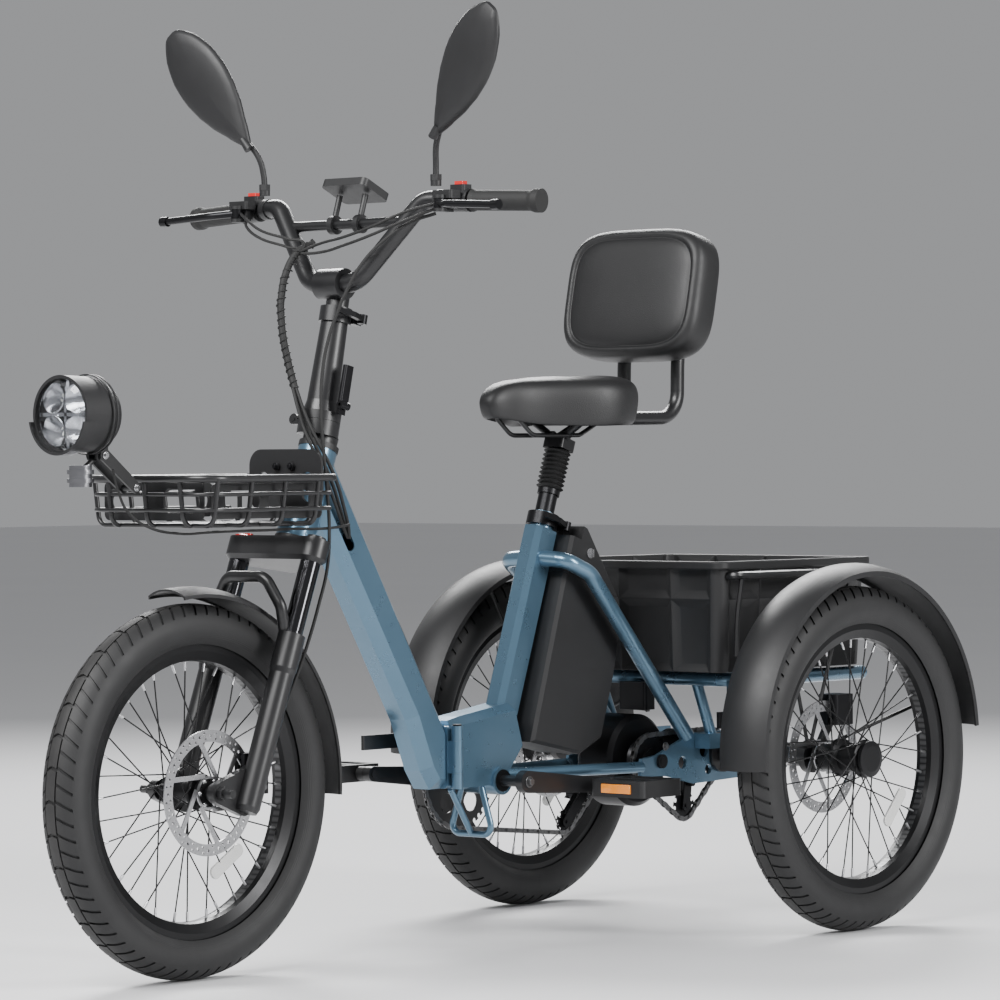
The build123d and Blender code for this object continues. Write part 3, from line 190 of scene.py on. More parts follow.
finishes = {
    "framePaint": {
        "dark": (0.085, 0.165, 0.240), "light": (0.120, 0.215, 0.300), "rough": (0.24, 0.33),
        "metal": 0.72, "grain": 900, "depth": 0.000006, "sockets": {"Coat Weight": 0.55, "Coat Roughness": 0.12},
    },
    "satinBlack": {
        "dark": (0.005, 0.005, 0.0055), "light": (0.010, 0.010, 0.011), "rough": (0.30, 0.44),
        "grain": 1400, "depth": 0.00003, "sockets": {"Coat Weight": 0.15, "Coat Roughness": 0.3},
    },
    "anodised": {
        "dark": (0.010, 0.010, 0.011), "light": (0.020, 0.020, 0.022), "rough": (0.28, 0.42),
        "metal": 0.75, "grain": 2200, "depth": 0.00002,
    },
    "mouldedBlack": {
        "dark": (0.007, 0.007, 0.0075), "light": (0.013, 0.013, 0.014), "rough": (0.42, 0.58),
        "grain": 1500, "depth": 0.00008,
    },
    "gripRubber": {
        "dark": (0.006, 0.006, 0.006), "light": (0.012, 0.012, 0.012), "rough": (0.62, 0.78),
        "grain": 900, "depth": 0.0001,
    },
    "stretchedCover": {
        "dark": (0.006, 0.006, 0.0065), "light": (0.012, 0.012, 0.0125), "rough": (0.40, 0.56),
        "grain": 420, "grainKind": "cells", "depth": 0.00025,
    },
    "darkSteel": {
        "dark": (0.10, 0.10, 0.105), "light": (0.24, 0.24, 0.24), "rough": (0.28, 0.48),
        "metal": 1.0, "smearScale": 120, "grain": 1200, "depth": 0.00004,
    },
    "brightSteel": {
        "dark": (0.52, 0.52, 0.53), "light": (0.68, 0.68, 0.69), "rough": (0.18, 0.32),
        "metal": 1.0, "smearScale": 90, "grain": 1600, "depth": 0.00002,
    },
    "darkChrome": {
        "dark": (0.05, 0.05, 0.055), "light": (0.08, 0.08, 0.085), "rough": (0.08, 0.16),
        "metal": 1.0, "grain": 1500, "depth": 0.00001,
    },
    "signalRed": {
        "dark": (0.55, 0.012, 0.012), "light": (0.70, 0.025, 0.020), "rough": (0.22, 0.32),
        "grain": 1200, "depth": 0.00003, "sockets": {"Coat Weight": 0.3},
    },
    "amberPrism": {
        "dark": (0.85, 0.22, 0.01), "light": (0.95, 0.32, 0.02), "rough": (0.12, 0.2),
        "grain": 420, "grainKind": "cells", "depth": 0.0008, "sockets": {"Coat Weight": 0.8},
    },
    "paleReflector": {
        "dark": (0.55, 0.55, 0.54), "light": (0.74, 0.74, 0.72), "rough": (0.12, 0.22),
        "grain": 380, "grainKind": "cells", "depth": 0.0006, "sockets": {"Coat Weight": 0.8},
    },
    "mirrorGlass": {
        "dark": (0.80, 0.82, 0.84), "light": (0.84, 0.86, 0.88), "rough": (0.015, 0.03),
        "metal": 1.0, "grain": 30, "depth": 0.000005,
    },
    "ledWhite": {
        "dark": (0.80, 0.80, 0.74), "light": (0.95, 0.94, 0.86), "rough": (0.2, 0.3),
        "grain": 600, "depth": 0.00005, "sockets": {"Emission Color": (1.0, 0.97, 0.9), "Emission Strength": 0.4},
    },
    "screenGlass": {
        "dark": (0.006, 0.007, 0.009), "light": (0.010, 0.012, 0.015), "rough": (0.05, 0.1),
        "grain": 300, "depth": 0.00001, "sockets": {"Coat Weight": 1.0, "Coat Roughness": 0.04},
    },
}
shades = {name: surface(name, look) for name, look in finishes.items()}


def wheelRadius(shade, axle):
    _, y, z = shade.axes()
    return ((y - axle.y) ** 2 + (z - axle.z) ** 2) ** 0.5


def tyreFinish(name, axle):
    # rubber with moulded rings on its side walls and a dustier tread
    shade = Shade(name)
    radius = wheelRadius(shade, axle)
    drift = shade.noise(9, 4.0)
    rubber = shade.mix(drift, (0.007, 0.007, 0.0075), (0.014, 0.014, 0.0145))
    dust = radius.over(0.2655, 0.003) * shade.noise(60, 4.0) * 0.5
    shade.put("Base Color", shade.mix(dust, rubber, (0.040, 0.038, 0.036)))
    shade.put("Roughness", shade.noise(40, 4.0) * 0.16 + 0.52)
    rings = (radius * 2600).maths("SINE") * radius.between(0.218, 0.226, 0.002) * 0.3
    shade.bump(shade.noise(1100, 2.0) * 0.3 + rings, 0.0003)
    return shade


def hubFinish(name, axle, rotorX):
    # black shell that carries a bright drilled rotor
    shade = Shade(name)
    x, _, _ = shade.axes()
    radius = wheelRadius(shade, axle)
    rotor = x.maths("ABSOLUTE").between(rotorX - 0.0014, rotorX + 0.0014, 0.0001) * radius.over(0.0205)
    streak = (radius * 9000 + shade.noise(30) * 9).maths("SINE") * 0.5 + 0.5
    steel = shade.mix(streak, (0.36, 0.36, 0.37), (0.58, 0.58, 0.59))
    shell = shade.mix(shade.noise(8), (0.008, 0.008, 0.009), (0.018, 0.018, 0.019))
    shade.put("Base Color", shade.mix(rotor, shell, steel))
    shade.put("Metallic", rotor * 0.35 + 0.65)
    shade.put("Roughness", 0.36 - rotor * 0.12 + shade.noise(45) * 0.08)
    shade.bump(shade.noise(1300, 2.0) + streak * rotor * 0.6, 0.00003)
    return shade


def rimFinish(name, axle):
    # black rim and spokes, plated nipples
    shade = Shade(name)
    radius = wheelRadius(shade, axle)
    nipple = radius.between(0.1725, 0.1858)
    black = shade.mix(shade.noise(8), (0.006, 0.006, 0.0065), (0.013, 0.013, 0.014))
    shade.put("Base Color", shade.mix(nipple, black, (0.55, 0.55, 0.56)))
    shade.put("Metallic", nipple * 0.5 + 0.5)
    shade.put("Roughness", shade.noise(50) * 0.12 + 0.28)
    shade.bump(shade.noise(1500, 2.0), 0.00003)
    return shade


def fittingFinish():
    # black brackets, and the horn's plated drum under the lamp
    shade = Shade("bracketsAndHorn")
    x, y, z = shade.axes()
    horn = (1 - y.over(-0.7655)) * (1 - z.over(0.737)) * (1 - x.maths("ABSOLUTE").over(0.021))
    black = shade.mix(shade.noise(8), (0.007, 0.007, 0.0075), (0.014, 0.014, 0.015))
    shade.put("Base Color", shade.mix(horn, black, (0.42, 0.42, 0.44)))
    shade.put("Metallic", horn)
    shade.put("Roughness", 0.44 - horn * 0.26 + shade.noise(60) * 0.08)
    shade.bump(shade.noise(1500, 2.0), 0.00005)
    return shade


shades["bracketsAndHorn"] = fittingFinish()
shades["frontTyre"] = tyreFinish("frontTyreRubber", frontAxle)
shades["rearTyre"] = tyreFinish("rearTyreRubber", rearAxle)
shades["frontHub"] = hubFinish("frontHubMetal", frontAxle, 0.043)
shades["rearHub"] = hubFinish("rearHubMetal", rearAxle, 0.283)
shades["frontRim"] = rimFinish("frontRimMetal", frontAxle)
shades["rearRim"] = rimFinish("rearRimMetal", rearAxle)

clearLens = Shade("clearLens")
clearLens.put("Base Color", (0.95, 0.97, 1.0))
clearLens.put("Roughness", clearLens.noise(40) * 0.04 + 0.02)
clearLens.put("IOR", 1.45)
clearLens.put("Transmission Weight", 1.0)
clearLens.bump(clearLens.noise(60), 0.0001)
shades["clearLens"] = clearLens
print("materials made:", len(shades))

nodeFinishes = {
    "framePaint": "rear_frame front_frame rear_rack folding_stand",
    "satinBlack": "frame_latch axle_housing seat_frame basket_frame handlepost fork_crown fork_lowers "
    "handlebar inner_post crankset",
    "anodised": "rear_fittings derailleur rear_axle hub_motor front_caliper rear_calipers seat_post seat_clamp_lever "
    "post_clamp_lever post_latch brake_lever_left brake_lever_right",
    "mouldedBlack": "rear_mudguards battery_case pedal_left pedal_right basket_panels headlamp "
    "front_mudguard bar_controls",
    "gripRubber": "grips",
    "darkSteel": "cassette",
    "brightSteel": "battery_key",
    "darkChrome": "fork_stanchions",
    "signalRed": "lock_dial light_switch horn_switch",
    "frontHub": "front_hub",
    "rearHub": "rear_hub_left rear_hub_right",
    "frontRim": "front_rim",
    "rearRim": "rear_rim_left rear_rim_right",
    "bracketsAndHorn": "front_fittings",
    "clearLens": "headlamp_lens",
}
for finish, names in nodeFinishes.items():
    for name in names.split():
        nodes[name].data.materials.clear()
        nodes[name].data.materials.append(shades[finish].material)
print("carried-over nodes painted")


def piece(name, bm, finish, body, replaces=(), creases=35, subdivisions=0, bevel=0.0):
    # turns a bmesh into a finished object that rides on a body
    bmesh.ops.remove_doubles(bm, verts=bm.verts, dist=1e-6)
    bmesh.ops.recalc_face_normals(bm, faces=bm.faces)
    mesh = bpy.data.meshes.new(name)
    bm.to_mesh(mesh)
    bm.free()
    mesh.materials.append(shades[finish].material)
    mesh.polygons.foreach_set("use_smooth", [True] * len(mesh.polygons))
    if not subdivisions:
        mesh.set_sharp_from_angle(angle=math.radians(creases))
    thing = bpy.data.objects.new(name, mesh)
    bpy.context.scene.collection.objects.link(thing)
    if bevel:
        edges = thing.modifiers.new("edges", "BEVEL")
        edges.width, edges.segments, edges.limit_method = bevel, 2, "ANGLE"
    if subdivisions:
        smooth = thing.modifiers.new("smooth", "SUBSURF")
        smooth.levels = smooth.render_levels = subdivisions
    if body:
        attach(thing, body)
    if replaces:
        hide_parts(*replaces)
    return thing


def tubeInto(bm, points, radius, sides=10, smooth=True):
    # a round tube along a smooth or straight-cornered route, added to bm
    curve = bpy.data.curves.new("route", "CURVE")
    curve.dimensions, curve.bevel_depth, curve.bevel_resolution = "3D", radius, max(0, sides // 4 - 1)
    curve.use_fill_caps, curve.resolution_u = True, 8
    line = curve.splines.new("BEZIER" if smooth else "POLY")
    if smooth:
        line.bezier_points.add(len(points) - 1)
        for knot, point in zip(line.bezier_points, points):
            knot.co, knot.handle_left_type, knot.handle_right_type = Vector(point), "AUTO", "AUTO"
    else:
        line.points.add(len(points) - 1)
        for knot, point in zip(line.points, points):
            knot.co = (*point, 1)
    holder = bpy.data.objects.new("route", curve)
    bpy.context.scene.collection.objects.link(holder)
    shape = holder.evaluated_get(bpy.context.evaluated_depsgraph_get()).to_mesh()
    bm.from_mesh(shape)
    bpy.data.objects.remove(holder)
    bpy.data.curves.remove(curve)


def prism(bm, matrix, sides, radius, height, top=None):
    # a closed round or many-sided plug whose foot is at the matrix's origin
    lift = Matrix.Translation((0, 0, height / 2))
    bmesh.ops.create_cone(
        bm, cap_ends=True, segments=sides, radius1=radius,
        radius2=radius if top is None else top, depth=height, matrix=matrix @ lift,
    )


def facing(point, direction, up=(0, 0, 1)):
    # a matrix at point whose z axis looks along direction
    z = Vector(direction).normalized()
    x = Vector(up).cross(z)
    x = x.normalized() if x.length > 1e-3 else Vector((1, 0, 0))
    return Matrix.Translation(point) @ Matrix((x, z.cross(x), z)).transposed().to_4x4()


def loft(bm, spotOf, layers, segments, capInset=0.0):
    # stacks rings of points, spotOf(turn, *layer), into a closed skin
    ring = bmesh.ops.create_circle(bm, segments=segments, radius=1.0)["verts"]
    turns = {vert: (k + 0.5) / segments * math.tau for k, vert in enumerate(ring)}
    edges = list({edge for vert in ring for edge in vert.link_edges})
    for vert in ring:
        vert.co = spotOf(turns[vert], *layers[0])
    caps = bmesh.ops.contextual_create(bm, geom=ring)["faces"]
    for layer in layers[1:]:
        grown = bmesh.ops.extrude_edge_only(bm, edges=edges)["geom"]
        fresh = [g for g in grown if isinstance(g, bmesh.types.BMVert)]
        edges = [g for g in grown if isinstance(g, bmesh.types.BMEdge)]
        nextTurns = {}
        for vert in fresh:
            below = next(e.other_vert(vert) for e in vert.link_edges if e.other_vert(vert) in turns)
            nextTurns[vert] = turns[below]
        for vert, turn in nextTurns.items():
            vert.co = spotOf(turn, *layer)
        turns = nextTurns
    caps += bmesh.ops.contextual_create(bm, geom=edges)["faces"]
    if capInset:
        bmesh.ops.inset_region(bm, faces=caps, thickness=capInset)


# tyres: a carcass with a slanted block tread
tyreLook = {
    "crown": 0.236, "halfWidth": 0.035, "halfHeight": 0.033, "bead": 0.2106, "wall": 0.005,
    "columns": 360, "pitch": 5, "grooveDepth": 0.0028, "grooveDraft": 0.0003, "skin": 0.93, "sweep": 0.085,
    "sideDegrees": (-50, -36, -22, -8, 6, 20, 31), "treadDegrees": (38, 47, 56, 65, 72, 75.5, 83),
}


def buildTyre(name, centre, body, finish):
    look = tyreLook
    half = [*look["sideDegrees"], *look["treadDegrees"]]
    degrees = [*half, 90, *[180 - d for d in reversed(half)]]
    outline = []
    for d in degrees:
        x, y = look["halfWidth"] * math.cos(math.radians(d)), look["halfHeight"] * math.sin(math.radians(d))
        outline.append((x, look["crown"] + y))
    innerTurn = [-44, -10, 30, 65, 90, 115, 150, 190, 224]
    inner = []
    for d in reversed(innerTurn):
        x = (look["halfWidth"] - look["wall"]) * math.cos(math.radians(d))
        y = (look["halfHeight"] - look["wall"]) * math.sin(math.radians(d))
        inner.append((x, max(look["bead"], look["crown"] + y)))
    bm = bmesh.new()
    loop = [bm.verts.new(centre + Vector((x, 0, r))) for x, r in outline + inner]
    rim = [bm.edges.new((a, b)) for a, b in zip(loop, loop[1:] + loop[:1])]
    bmesh.ops.spin(
        bm, geom=loop + rim, cent=centre, axis=(1, 0, 0), angle=math.tau, steps=look["columns"], use_merge=True
    )
    bmesh.ops.recalc_face_normals(bm, faces=bm.faces)
    grooves = []
    for face in bm.faces:
        offset = face.calc_center_median() - centre
        radius = math.hypot(offset.y, offset.z)
        high, wide = (radius - look["crown"]) / look["halfHeight"], abs(offset.x) / look["halfWidth"]
        if math.hypot(high, wide) < look["skin"]:
            continue
        spot = math.degrees(math.atan2(high, wide))
        share = math.atan2(offset.z, offset.y) / math.tau
        column = int(share * look["columns"] + look["columns"]) % look["columns"]
        shift = 2 if offset.x > 0 else 0
        shoulder = 31 < spot < 72 and (column + shift) % look["pitch"] == 0
        middle = spot > 75.5 and (column + 1) % (2 * look["pitch"]) == 0
        if shoulder or middle or 72 < spot < 75.5:
            grooves.append(face)
    for vert in bm.verts:
        offset = vert.co - centre
        turn = look["sweep"] * (min(abs(offset.x) / look["halfWidth"], 1)) ** 1.4
        vert.co = centre + Matrix.Rotation(turn, 3, "X") @ offset
    bmesh.ops.inset_region(
        bm, faces=grooves, thickness=look["grooveDraft"], depth=-look["grooveDepth"],
        use_even_offset=True, use_boundary=True,
    )
    return piece(name.replace("tyre", "tyreTread"), bm, finish, body, [name], creases=28)


buildTyre("front_tyre", frontAxle, "front_wheel", "frontTyre")
for sign, side in ((1, "left"), (-1, "right")):
    spot = rearAxle + Vector((sign * halfTrack, 0, 0))
    buildTyre(f"rear_tyre_{side}", spot, f"rear_wheel_{side}", "rearTyre")
print("tyres done")

# chains: rollers and side plates along the belt line round the sprockets
toothPitch = 0.0127
crankAxle = Vector(joints["crank_spin"]["pos_m"])
midAxle = Vector(joints["mid_hub_spin"]["pos_m"])
chainLook = {"rollerRadius": 0.0038, "plateLength": 0.0205, "plateHalf": 0.0039, "plateThick": 0.0011}


def pitchRadius(teeth):
    return toothPitch / (2 * math.sin(math.pi / teeth))


def beltLine(wheels):
    # the taut line round (y, z, radius) wheels, as evenly spaced points
    rim = []
    for y, z, radius in wheels:
        for k in range(120):
            turn = k / 120 * math.tau
            rim.append(Vector((y + radius * math.cos(turn), z + radius * math.sin(turn))))
    ring = [rim[k] for k in convex_hull_2d(rim)]
    total = sum((b - a).length for a, b in zip(ring, ring[1:] + ring[:1]))
    count = round(total / toothPitch)
    count += count % 2
    step, walked, spots, index = total / count, 0.0, [], 0
    for a, b in zip(ring, ring[1:] + ring[:1]):
        length = (b - a).length
        while index < count and index * step <= walked + length:
            spots.append(a + (b - a) * ((index * step - walked) / length))
            index += 1
        walked += length
    return spots


def addChain(bm, planeX, wheels):
    spots = beltLine(wheels)
    for k, (a, b) in enumerate(zip(spots, spots[1:] + spots[:1])):
        heading = Vector((0, b.x - a.x, b.y - a.y)).normalized()
        place = Vector((planeX, a.x, a.y))
        prism(bm, facing(place - Vector((0.0042, 0, 0)), (1, 0, 0)), 8, 0.0018, 0.0084)
        prism(bm, facing(place - Vector((0.0012, 0, 0)), (1, 0, 0)), 8, chainLook["rollerRadius"], 0.0024)
        middle = Vector((planeX, (a.x + b.x) / 2, (a.y + b.y) / 2))
        for s in (-1, 1):
            out = 0.0026 if k % 2 else 0.0013
            ring = bmesh.ops.create_circle(bm, cap_ends=True, segments=10, radius=1.0)["verts"]
            turn = Matrix((Vector((1, 0, 0)).cross(heading), heading, Vector((1, 0, 0)))).transposed().to_4x4()
            size = Matrix.Diagonal((chainLook["plateHalf"], chainLook["plateLength"] / 2, 1, 1))
            bmesh.ops.transform(
                bm, matrix=Matrix.Translation(middle + Vector((s * out, 0, 0))) @ turn @ size, verts=ring
            )
            face = ring[0].link_faces[0]
            grown = bmesh.ops.extrude_face_region(bm, geom=[face])["geom"]
            moved = [g for g in grown if isinstance(g, bmesh.types.BMVert)]
            bmesh.ops.translate(bm, vec=(s * chainLook["plateThick"], 0, 0), verts=moved)


bm = bmesh.new()
addChain(bm, -0.057, [(crankAxle.y, crankAxle.z, pitchRadius(38)), (midAxle.y, midAxle.z, pitchRadius(18)),
                      (0.312, 0.165, 0.0170)])
addChain(bm, 0.055, [(midAxle.y, midAxle.z, pitchRadius(20)), (rearAxle.y, rearAxle.z, pitchRadius(18)),
                     (0.473, 0.186, 0.0220)])
piece("driveChains", bm, "darkSteel", "rear_frame", ["chains"], creases=40)
print("chains done")

# saddle: a wide rear that narrows to a nose, with a shallow channel
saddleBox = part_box("saddle")
saddleLook = {
    "segments": 40, "noseHalf": 0.034, "tailHalf": saddleBox[1].x - 0.001,
    "layers": ((-0.0080, 0.80), (-0.0180, 0.88), (-0.0200, 0.925), (-0.0130, 0.962), (0.0020, 0.988), (0.0160, 1.0),
               (0.0280, 0.982), (0.0370, 0.930), (0.0435, 0.84), (0.0475, 0.72), (0.0500, 0.56), (0.0512, 0.38),
               (0.0516, 0.18)),
    "channelDepth": 0.006, "channelHalf": 0.018, "noseDrop": 0.010, "tailRise": 0.009,
}


def saddleSpot(turn, scale, height):
    low, high = saddleBox
    length, middle = high.y - low.y, (low.y + high.y) / 2
    along = 0.5 - 0.5 * math.cos(turn)
    spread = min(1, max(0, (along - 0.16) / 0.58))
    spread = spread * spread * (3 - 2 * spread)
    half = saddleLook["noseHalf"] + (saddleLook["tailHalf"] - saddleLook["noseHalf"]) * spread
    x = half * math.copysign(abs(math.sin(turn)) ** 0.62, math.sin(turn)) * scale
    y = middle - length / 2 * math.cos(turn) * scale
    alongHere = (y - low.y) / length
    dip = saddleLook["channelDepth"] * math.exp(-((x / saddleLook["channelHalf"]) ** 2))
    dip *= min(1, max(0, (height - 0.03) / 0.015)) * min(1, max(0, (alongHere - 0.1) * 4))
    droop = saddleLook["noseDrop"] * max(0, 1 - alongHere * 3.2) ** 1.3 * min(1, height / 0.03)
    rise = saddleLook["tailRise"] * max(0, alongHere - 0.45) ** 1.5 * 2.4 * min(1, height / 0.03)
    skirt = -0.007 * min(1, max(0, 1 - height / 0.02)) * math.sin(math.pi * min(1, max(0, alongHere))) ** 2
    return Vector((x, y, low.z + height - dip - droop + rise + skirt))


bm = bmesh.new()
loft(bm, saddleSpot, [(scale, height) for height, scale in saddleLook["layers"]], saddleLook["segments"], 0.006)
saddle = piece("saddleCushion", bm, "stretchedCover", "seat", ["saddle"], subdivisions=2)

print("saddle done")

# bellows: a ribbed rubber sleeve round the seat's suspension
bellowsLook = {"foot": 0.0385, "top": 0.1030, "ribs": 9, "inner": 0.0165, "outer": 0.0215, "segments": 28}
seatAxis = Vector(joints["seat_suspension"]["axis"]).normalized()
seatOrigin = Vector((0, 0.202, 0.655))


def bellowsSpot(turn, radius, along):
    across = seatAxis.cross(Vector((1, 0, 0)))
    return seatOrigin + seatAxis * along + (Vector((1, 0, 0)) * math.cos(turn) + across * math.sin(turn)) * radius


rings = []
for k in range(4 * bellowsLook["ribs"] + 1):
    wave = 0.5 - 0.5 * math.cos(k / 4 * math.tau)
    along = bellowsLook["foot"] + (bellowsLook["top"] - bellowsLook["foot"]) * k / (4 * bellowsLook["ribs"])
    rings.append((bellowsLook["inner"] + (bellowsLook["outer"] - bellowsLook["inner"]) * wave, along))
bm = bmesh.new()
loft(bm, bellowsSpot, rings, bellowsLook["segments"])
bellows = piece("bellowsSleeve", bm, "gripRubber", None, ["seat_bellows"], creases=70)
bellowsSpot(0, 0, bellowsLook["foot"])
bellowsSpot(0, 0, bellowsLook["top"])
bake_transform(bellows)
print("bellows done")

# backrest: a crowned panel inside a raised border
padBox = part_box("backrest_pad")
padLook = {
    "lean": math.radians(12), "width": 0.277, "height": 0.211, "power": 4.2, "segments": 72,
    "layers": ((0.0300, 0.034), (0.0300, 0.012), (0.0265, 0.003), (0.0180, 0.0), (-0.012, 0.0), (-0.022, 0.0025),
               (-0.0280, 0.0080), (-0.0300, 0.0130), (-0.0290, 0.0175), (-0.0245, 0.0195), (-0.0285, 0.0225),
               (-0.0315, 0.036), (-0.0330, 0.060), (-0.0335, 0.085)),
}
padCentre = Vector((0, 0.440, 0.998))
padBack = Vector((0, math.cos(padLook["lean"]), -math.sin(padLook["lean"])))
padUp = Vector((0, math.sin(padLook["lean"]), math.cos(padLook["lean"])))


def padSpot(turn, depth, inset):
    c, s = math.cos(turn), math.sin(turn)
    reach = (abs(c) ** padLook["power"] + abs(s) ** padLook["power"]) ** (-1 / padLook["power"])
    u = (padLook["width"] / 2 - inset) * c * reach
    v = (padLook["height"] / 2 - inset * 0.9) * s * reach
    return padCentre + Vector((u, 0, 0)) + padUp * v + padBack * depth


bm = bmesh.new()
loft(bm, padSpot, padLook["layers"], padLook["segments"], 0.012)
backrest = piece("backrestCushion", bm, "stretchedCover", "seat", ["backrest_pad"], subdivisions=1)
print("backrest done")

# rear crate: tapered walls with sunk panels, a rolled rim and carrying hoops
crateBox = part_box("rear_basket")
crateLook = {
    "half": 0.215, "front": 0.372, "back": 0.770, "taper": 0.962, "corner": 0.020, "wall": 0.003,
    "panelRim": 0.013, "panelSink": 0.0075, "lip": 0.008, "lipWidth": 0.0125,
    "rimHeight": 0.013, "hoopRadius": 0.0062,
}
low, high = crateBox
middle = Vector((0, (crateLook["front"] + crateLook["back"]) / 2, (low.z + high.z) / 2))
crateLength = crateLook["back"] - crateLook["front"]
lip = crateLook["lip"]
size = Vector((2 * (crateLook["half"] - lip), crateLength - 2 * lip, high.z - low.z - 0.002))
bm = bmesh.new()
bmesh.ops.create_cube(bm, size=1.0, matrix=Matrix.Translation(middle) @ Matrix.Diagonal((*size, 1)))
foot = [v for v in bm.verts if v.co.z < middle.z]
bmesh.ops.scale(bm, vec=(crateLook["taper"], crateLook["taper"], 1), space=Matrix.Translation(-middle), verts=foot)
uprights = [e for e in bm.edges if abs((e.verts[0].co - e.verts[1].co).z) > 0.1]
bmesh.ops.bevel(
    bm, geom=uprights, offset=crateLook["corner"], segments=5, profile=0.5, affect="EDGES", material=-1
)
bmesh.ops.delete(bm, geom=[f for f in bm.faces if f.normal.z > 0.9], context="FACES_ONLY")
cuts = [Vector((x, 0, 0)) for x in (-0.105, 0, 0.105)] + [Vector((0, y, 0)) for y in (-0.09, 0.09)]
cuts.append(Vector((0, 0, 0.028)))
for cut in cuts:
    axis = cut.normalized() if cut.length else Vector((1, 0, 0))
    everything = bm.verts[:] + bm.edges[:] + bm.faces[:]
    bmesh.ops.bisect_plane(bm, geom=everything, plane_co=middle + cut, plane_no=axis)
bm.faces.ensure_lookup_table()
bmesh.ops.recalc_face_normals(bm, faces=bm.faces)
panels = [f for f in bm.faces if f.calc_area() > 0.004 and abs(f.normal.z) < 0.5]
outward = sum((f.normal.dot(f.calc_center_median() - middle) for f in panels))
if outward < 0:
    bmesh.ops.reverse_faces(bm, faces=bm.faces)
bmesh.ops.inset_individual(
    bm, faces=panels, thickness=crateLook["panelRim"], depth=-crateLook["panelSink"], use_even_offset=True
)
bmesh.ops.solidify(bm, geom=bm.faces[:], thickness=crateLook["wall"])
crate = piece("rearCrate", bm, "mouldedBlack", "rear_frame", ["rear_basket"], bevel=0.0012)

bm = bmesh.new()
bmesh.ops.create_grid(
    bm, x_segments=1, y_segments=1, size=0.5,
    matrix=Matrix.Translation((0, middle.y, high.z - crateLook["rimHeight"]))
    @ Matrix.Diagonal((2 * crateLook["half"], crateLength, 1, 1)),
)
bmesh.ops.bevel(bm, geom=bm.verts[:], offset=0.022, segments=6, profile=0.5, affect="VERTICES", material=-1)
ringFace = bm.faces[:]
bmesh.ops.inset_region(bm, faces=ringFace, thickness=crateLook["lipWidth"], use_boundary=True)
bmesh.ops.delete(bm, geom=ringFace, context="FACES")
grown = bmesh.ops.extrude_face_region(bm, geom=bm.faces[:])["geom"]
bmesh.ops.translate(
    bm, vec=(0, 0, crateLook["rimHeight"]), verts=[g for g in grown if isinstance(g, bmesh.types.BMVert)]
)
piece("crateRim", bm, "mouldedBlack", "rear_frame", bevel=0.0025)

bm = bmesh.new()
for s in (-1, 1):
    hoop = [(s * 0.206, 0.400, 0.556), (s * 0.220, 0.402, 0.556), (s * 0.225, 0.412, 0.556),
            (s * 0.225, 0.600, 0.556), (s * 0.220, 0.609, 0.556), (s * 0.206, 0.610, 0.556)]
    tubeInto(bm, hoop, crateLook["hoopRadius"], 12)
    for y in (0.412, 0.600):
        leg = [(s * 0.225, y, 0.556), (s * 0.224, y, 0.545), (s * 0.2165, y, 0.50), (s * 0.2125, y, 0.430)]
        tubeInto(bm, leg, 0.0042, 10)
piece("crateHoops", bm, "satinBlack", "rear_frame")
print("rear crate done")

# headlamp: four chrome bowls behind the lens, split by a cross
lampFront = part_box("headlamp_lens")
lampCentre = (lampFront[0] + lampFront[1]) / 2
lampLook = {"bowl": 0.0205, "spread": 0.0215, "depth": 0.020, "led": 0.0052, "cross": 0.0024}
lampPlane = lampFront[1].y + 0.0012
bm = bmesh.new()
leds = bmesh.new()
for sx in (-1, 1):
    for sz in (-1, 1):
        spot = Vector((sx * lampLook["spread"], lampPlane, lampCentre.z + sz * lampLook["spread"]))
        bmesh.ops.create_cone(
            bm, cap_ends=False, segments=24, radius1=lampLook["led"], radius2=lampLook["bowl"],
            depth=lampLook["depth"],
            matrix=facing(spot + Vector((0, lampLook["depth"] / 2, 0)), (0, -1, 0)),
        )
        prism(leds, facing(spot + Vector((0, lampLook["depth"] + 0.001, 0)), (0, -1, 0)), 16, 0.0054, 0.0022)
bmesh.ops.solidify(bm, geom=bm.faces[:], thickness=0.0007)
prism(bm, facing(Vector((0, lampPlane + 0.023, lampCentre.z)), (0, -1, 0)), 48, 0.0478, 0.0015)
for half in ((0.0475, lampLook["cross"]), (lampLook["cross"], 0.0475)):
    block = Matrix.Diagonal((half[0] * 2, 0.018, half[1] * 2, 1))
    bmesh.ops.create_cube(bm, size=1.0, matrix=Matrix.Translation((0, lampPlane + 0.011, lampCentre.z)) @ block)
piece("lampBowls", bm, "brightSteel", "headlamp")
piece("lampLeds", leds, "ledWhite", "headlamp")
bm = bmesh.new()
for k in range(2):
    place = facing(Vector((0, lampPlane + 0.034 + k * 0.0075, lampCentre.z)), (0, -1, 0))
    ring = bmesh.ops.create_circle(bm, segments=64, radius=0.0552 - 0.0002 * k, matrix=place)["verts"]
    edges = list({e for v in ring for e in v.link_edges})
    grown = bmesh.ops.extrude_edge_only(bm, edges=edges)["geom"]
    bmesh.ops.translate(bm, vec=(0, 0.0028, 0), verts=[g for g in grown if isinstance(g, bmesh.types.BMVert)])
bmesh.ops.solidify(bm, geom=bm.faces[:], thickness=0.0014)
piece("lampFins", bm, "mouldedBlack", "headlamp")
print("headlamp done")

